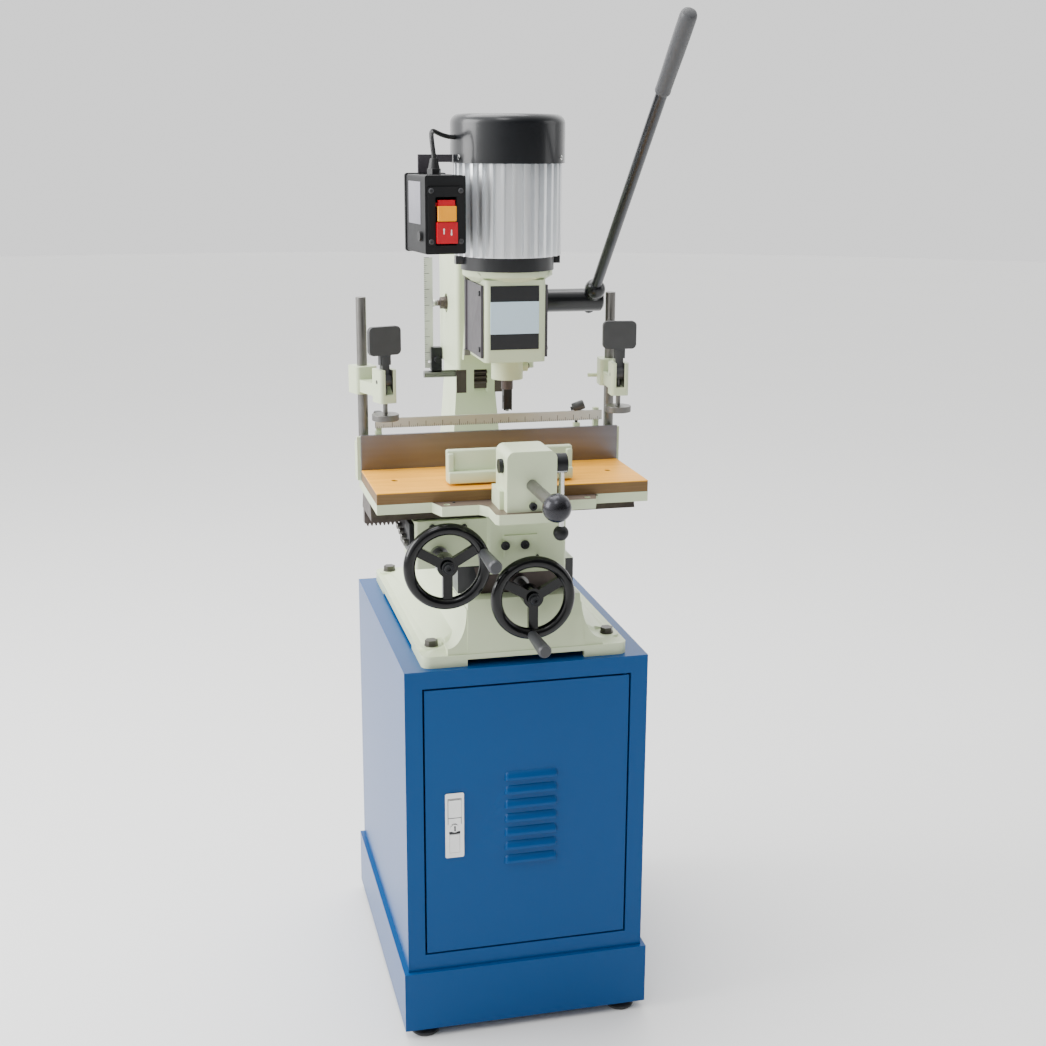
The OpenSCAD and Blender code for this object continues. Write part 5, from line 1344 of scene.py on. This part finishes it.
@dataclass
class CrossTable:
    """The saddle, the handwheels, the table with its fence, and the vise.

    Attributes:
        shop: Keeps the materials and the pieces.
        wheels: Body and place of the hub's front of each handwheel.
        bare_top: Height above which the table's ledges are ground bare, in metres.
        rail_top: Height below which the table's rail is bare, in metres.
        slide_top: Height below which the saddle's slide is blackened, in metres.
        rod: Lowest and highest point of the vise lever's chromed rod, in metres.
        ball_y: Where the push rod's ball begins, in metres.
        knobs_x: Place of the left and right knob of the stop ruler, in mm.
    """

    shop: Workshop
    wheels: tuple[tuple[str, Point], ...] = (
        ("cross_wheel", (0.0, -281.5, 714.0)),
        ("table_wheel", (-131.0, -304.5, 776.2)),
    )
    bare_top: float = 0.8670
    rail_top: float = 0.8530
    slide_top: float = 0.7455
    rod: tuple[float, float] = (0.8375, 0.9185)
    ball_y: float = -0.4775
    knobs_x: tuple[float, float] = (-199.0, 107.0)

    def table_finish(self, middle: Vector, normal: Vector) -> int:
        """Bare steel on the ground top and on the rail, enamel elsewhere."""
        if normal.z > 0.7 and middle.z > self.bare_top:
            return 1
        return 2 if middle.z < self.rail_top - 0.0002 else 0

    def lock_finish(self, middle: Vector, normal: Vector) -> int:
        """Chrome on the thin rod, dark steel on its hub and ball."""
        low, high = self.rod
        return 1 if middle.x > 14.5 * MM and low < middle.z < high else 0

    def jaw(self) -> None:
        """Casts the jaw: an upright plate with a ledge, a boss and a web at each end."""
        pieces = [
            slab((-122, -252, 886.6), (62, -240, 934), 2.6, segments=3),
            slab((-121, -262, 886.8), (61, -246, 904), 2.2, segments=3),
            slab((-121.4, -256.5, 888), (-112, -244, 930), 2.4, segments=3),
            slab((52, -256.5, 888), (61.4, -244, 930), 2.4, segments=3),
            turned(
                [(0, 0), (13, 0), (15, 1.6), (15.6, 8), (15.6, 16), (0, 16)],
                (-26, -262, 904.5), (0, 1, 0), 40,
            ),
        ]
        mesh = gather(pieces)
        obj = self.shop.keep("vise_jaw_cast", mesh, "jaw", "casting_paint", CASTING_ENAMEL)
        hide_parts("vise_jaw")

    def saddle_trim(self) -> None:
        """Adds the saddle's screws, its oiler stub and the gib plate on its left."""
        heads = [cap_screw((x, -240.0, 786.0), (0, -1, 0), 13.5, 2.4) for x in (-34, -4.5)]
        heads.append(cap_screw((15, -234.0, 767), (0, -1, 0), 4.5, 6))
        heads.append(cap_screw((-140, -230.0, 817), (0, -1, 0), 10, 4))
        heads.append(cap_screw((-93, -230.0, 816), (0, -1, 0), 8, 3))
        self.shop.keep("saddle_screws", gather(heads), "saddle", "black_steel", BLACK_OXIDE)
        plate = slab((-173, -226, 776), (-165.5, -140, 823), 1.0)
        self.shop.keep("gib_plate", plate, "saddle", "black_steel", BLACK_OXIDE)
        rows = [
            cap_screw((-173, y, z), (-1, 0, 0), 10, 7)
            for y, z in ((-152, 802), (-172, 799), (-192, 796), (-212, 792))
        ]
        self.shop.keep("gib_screws", gather(rows), "saddle", "bolt_steel", DRAWN_STEEL)

    def table_trim(self) -> None:
        """Adds the screws of the ledge and of the vise."""
        ledge = [
            cap_screw((x, -291.0, 867.4), (0, 0, 1), 5, 0.8) for x in (-120, 40, 88)
        ]
        ledge.append(cap_screw((-26, -369.8, 876.5), (0, -1, 0), 11, 5.5))
        self.shop.keep("ledge_screws", gather(ledge), "table", "black_steel", BLACK_OXIDE)

    def ruler_knobs(self) -> None:
        """Adds the knobs that clamp the stop ruler, on lugs behind the fence."""
        shop = self.shop
        left_x, right_x = self.knobs_x
        knob = [(0, 0), (3, 0), (3, 3), (6.6, 3.4), (7.2, 5), (7.2, 20), (6.2, 21.5), (0, 21.5)]
        right = turned(knob, (98, -112, 961), (0.93, -0.1, 0.33), 28)
        stem = turned(
            [(0, 0), (2.4, 0), (2.4, 28), (0, 28)], (right_x, -112, 936), (0, 0, 1), 20
        )
        shop.keep("ruler_knob_right", gather([right, stem]), "table", "black_steel", CAST_LEVER)
        left = turned(
            [(0, 0), (3, 0), (3, 21), (6, 21.4), (6.5, 23), (6.5, 29), (5.5, 30.5), (0, 30.5)],
            (left_x, -111.5, 938), (0, 0, 1), 28,
        )
        shop.keep("ruler_knob_left", left, "table", "black_steel", CAST_LEVER)
        lugs = [slab((x - 5, -117.5, 922), (x + 5, -108.5, 940), 1.2) for x in self.knobs_x]
        shop.keep("ruler_lugs", gather(lugs), "table", "casting_paint", CASTING_ENAMEL)

    def hub_caps(self) -> None:
        """Covers each handwheel's shaft end with its black bolt and washer."""
        for body, (x, y, z) in self.wheels:
            cap = turned(
                [(0, 0), (9.5, 0), (9.5, 1.4), (8.8, 2), (6.4, 2), (6.4, 5.4), (5.6, 6.2),
                 (3.2, 6.2), (2.9, 3.4), (0, 3.4)],
                (x, y + 0.5, z), (0, -1, 0), 32,
            )
            self.shop.keep(body + "_bolt", cap, body, "wheel_black", BLACK_OXIDE)

    def build(self) -> None:
        """Rounds the castings and dresses the rest."""
        shop = self.shop
        shop.soften(
            "saddle", "casting_paint", 2.5, CASTING_ENAMEL, MOTOR_BLACK,
            choose=lambda middle, normal: 1 if middle.z < self.slide_top else 0,
        )
        for node in ("cross_screw", "table_shaft"):
            shop.dress(node, TURNED_STEEL)
        shop.soften("table_rack", "dark_steel", 0.3, WORN_STEEL, limit=60)
        for node in ("cross_handwheel", "table_handwheel"):
            shop.soften(node, "wheel_black", 1.5, PHENOLIC_BLACK)
        for node in ("cross_grip", "table_grip"):
            shop.soften(node, "grip_grey", 1.0, GRIP_PLASTIC)
        shop.soften(
            "table_casting", "casting_paint", 2.0, CASTING_ENAMEL, BARE_CASTING, WORN_STEEL,
            cuts=(((0, 0, self.rail_top), (0, 0, 1)),), choose=self.table_finish,
        )
        shop.soften("wood_table", "table_wood", 0.8, BOARD)
        shop.soften("fence_casting", "casting_paint", 2.0, CASTING_ENAMEL)
        shop.soften("fence_plate", "fence_steel", 0.4, GROUND_FENCE)
        shop.soften("stop_ruler", "scale_steel", 0.3, STOP_RULE)
        shop.soften("vise_block", "casting_paint", 4.0, CASTING_ENAMEL)
        self.jaw()
        shop.soften(
            "vise_push_rod", "gunmetal", 0.3, DRAWN_STEEL, BALL_STEEL, limit=60,
            cuts=(((0, self.ball_y, 0), (0, 1, 0)),),
            choose=lambda middle, normal: 1 if middle.y < self.ball_y else 0,
        )
        shop.soften(
            "vise_lock_lever", "black_steel", 0.6, BLACK_OXIDE, NICKEL_PLATE, limit=60,
            cuts=tuple(((0, 0, z), (0, 0, 1)) for z in self.rod),
            choose=self.lock_finish,
        )
        self.saddle_trim()
        self.table_trim()
        self.ruler_knobs()
        self.hub_caps()


@dataclass
class HoldDowns:
    """The two posts with their arms, cam levers and plungers."""

    shop: Workshop
    sides: tuple[str, ...] = ("left", "right")

    def build(self) -> None:
        """Rounds the arms and the levers and dresses the bars."""
        shop = self.shop
        for side in self.sides:
            shop.soften(side + "_post", "post_steel", 0.8, DRAWN_STEEL, limit=60)
            arm = frame["nodes"][side + "_arm"]
            low, high = self.thumb_screw(arm)
            shop.soften(
                side + "_arm", "clamp_paint", 2.0, CASTING_ENAMEL, DARK_BOLT,
                choose=lambda middle, normal, low=low, high=high: int(
                    all(a - SNUG <= c <= b + SNUG for a, c, b in zip(low, middle, high))
                ),
            )
            shop.soften(side + "_cam_lever", "cam_grey", 1.6, CAST_LEVER)
            shop.soften(side + "_plunger", "post_steel", 0.8, DRAWN_STEEL, limit=60)

    def thumb_screw(self, arm: bpy.types.Object) -> tuple[Vector, Vector]:
        """Finds the loose clamping screw of an arm.

        Args:
            arm: The arm's solids.

        Returns:
            Lowest and highest corner of its smallest solid, in metres.
        """
        mesh = bmesh.new()
        mesh.from_mesh(arm.data)
        bmesh.ops.remove_doubles(mesh, verts=mesh.verts, dist=WELD)
        left = set(mesh.verts)
        found = []
        while left:
            group, edge = set(), [left.pop()]
            while edge:
                vert = edge.pop()
                group.add(vert)
                for line in vert.link_edges:
                    other = line.other_vert(vert)
                    if other in left:
                        left.discard(other)
                        edge.append(other)
            low = Vector([min(v.co[i] for v in group) for i in range(3)])
            high = Vector([max(v.co[i] for v in group) for i in range(3)])
            found.append(((high - low).length, low, high))
        mesh.free()
        found.sort(key=lambda row: row[0])
        return found[0][1], found[0][2]


# ---------------------------------------------------------------- studio


# Pale, matt studio floor with hardly any pattern.
FLOOR = Finish(
    "matt_white_floor", "#DFDFDE", "#DCDCDB", 0.75, drift_mm=900, grain_mm=6.0,
    grain_depth_mm=0.01, gloss_drift=0.03,
)


@dataclass
class Studio:
    """The floor, the lights and the camera.

    Attributes:
        eye: Place of the camera.
        yaw: Turn of its view from +Y towards +X, in degrees.
        pitch: How far it looks down, in degrees.
        roll: Turn about its own view, in degrees.
        focal_px: Focal length in pixels of the square photograph.
        side_px: Side of that photograph.
        bright_side: Direction that the brightest light of the room comes from.
        bright: Strength of the room's light on that side.
        dim: Strength of the room's light on the other side.
        backdrop: Brightness of the plain backdrop as the camera sees it.
        lights: Name, place, watts and side in metres of each soft box.
    """

    shop: Workshop
    eye: Point = (-0.5105, -2.2856, 1.3657)
    yaw: float = 13.810
    pitch: float = 14.555
    roll: float = 0.298
    focal_px: float = 1492.7
    side_px: float = 1046.0
    bright_side: Point = (-0.55, 0.75, 0.36)
    bright: float = 2.35
    dim: float = 0.12
    backdrop: float = 1.25
    lights: tuple[tuple[str, Point, float, float], ...] = (
        ("left", (-3.2, 0.2, 2.2), 170.0, 2.2),
        ("front", (-1.0, -2.2, 4.2), 27.0, 1.2),
        ("right", (3.0, -0.6, 1.8), 16.0, 1.6),
        ("top", (-0.4, 0.9, 3.8), 120.0, 2.4),
    )

    def floor(self) -> None:
        """Lays a wide floor that melts into the background."""
        mesh = bmesh.new()
        bmesh.ops.create_circle(mesh, cap_ends=True, radius=16.0, segments=96)
        data = bpy.data.meshes.new("studio_floor")
        mesh.to_mesh(data)
        mesh.free()
        obj = bpy.data.objects.new("studio_floor", data)
        bpy.context.scene.collection.objects.link(obj)
        self.shop.paint(obj, FLOOR)

    def background(self) -> None:
        """Fills the room with white light, strongest behind and to the left."""
        world = bpy.data.worlds.new("studio")
        world.use_nodes = True
        tree = world.node_tree
        tree.nodes.clear()
        ray = add_node(tree, "ShaderNodeTexCoord").outputs["Generated"]
        toward = add_node(
            tree,
            "ShaderNodeVectorMath",
            {"operation": "DOT_PRODUCT"},
            {0: ray, 1: self.bright_side},
        )
        power = add_node(
            tree,
            "ShaderNodeMapRange",
            {"interpolation_type": "SMOOTHSTEP"},
            {
                "Value": toward.outputs["Value"],
                "From Min": -0.75,
                "From Max": 0.55,
                "To Min": self.dim,
                "To Max": self.bright,
            },
        )
        seen = add_node(
            tree,
            "ShaderNodeMix",
            {"data_type": "FLOAT"},
            {
                0: add_node(tree, "ShaderNodeLightPath").outputs["Is Camera Ray"],
                2: power.outputs[0],
                3: self.backdrop,
            },
        )
        sky = add_node(
            tree,
            "ShaderNodeBackground",
            None,
            {"Color": srgb("#FFFFFF"), "Strength": seen.outputs[0]},
        )
        add_node(tree, "ShaderNodeOutputWorld", None, {"Surface": sky.outputs[0]})
        bpy.context.scene.world = world

    def light(self, name: str, place: Point, watts: float, side: float) -> None:
        """Hangs one soft box and turns it to the machine.

        Args:
            name: Name of the light.
            place: Its place in metres.
            watts: Its power.
            side: Side of its square in metres.
        """
        lamp = bpy.data.lights.new(name, "AREA")
        lamp.energy = watts
        lamp.size = side
        obj = bpy.data.objects.new(name, lamp)
        obj.location = place
        aim = Vector((0, 0, 0.8)) - Vector(place)
        obj.rotation_euler = aim.to_track_quat("-Z", "Y").to_euler()
        bpy.context.scene.collection.objects.link(obj)

    def camera(self) -> None:
        """Sets the camera where the photograph was taken from."""
        yaw, pitch, roll = (math.radians(a) for a in (self.yaw, self.pitch, self.roll))
        ahead = Vector(
            (
                math.sin(yaw) * math.cos(pitch),
                math.cos(yaw) * math.cos(pitch),
                -math.sin(pitch),
            )
        )
        right = Vector((math.cos(yaw), -math.sin(yaw), 0))
        up = right.cross(ahead)
        across = math.cos(roll) * right + math.sin(roll) * up
        upward = -math.sin(roll) * right + math.cos(roll) * up
        turn = Matrix((across, upward, -ahead)).transposed().to_4x4()
        lens = bpy.data.cameras.new("camera")
        lens.sensor_width = 36.0
        lens.lens = self.focal_px / self.side_px * lens.sensor_width
        lens.clip_end = 100.0
        obj = bpy.data.objects.new("camera", lens)
        obj.matrix_world = Matrix.Translation(Vector(self.eye)) @ turn
        bpy.context.scene.collection.objects.link(obj)
        bpy.context.scene.camera = obj

    def build(self) -> None:
        """Sets up the whole studio."""
        self.camera()
        self.floor()
        self.background()
        for name, place, watts, side in self.lights:
            self.light(name, place, watts, side)


def main() -> None:
    """Builds the machine in order, then the studio round it."""
    logging.basicConfig(level=logging.INFO, format="%(name)s: %(message)s")
    shop = Workshop()
    Studio(shop).build()
    for part in (
        Stand(shop),
        BaseAndColumn(shop),
        SpindleHead(shop),
        SwitchGear(shop),
        CrossTable(shop),
        HoldDowns(shop),
    ):
        part.build()
        log.info("%s done", type(part).__name__)
    log.info("%d new pieces", len(shop.made))


if __name__ == "__main__":
    main()
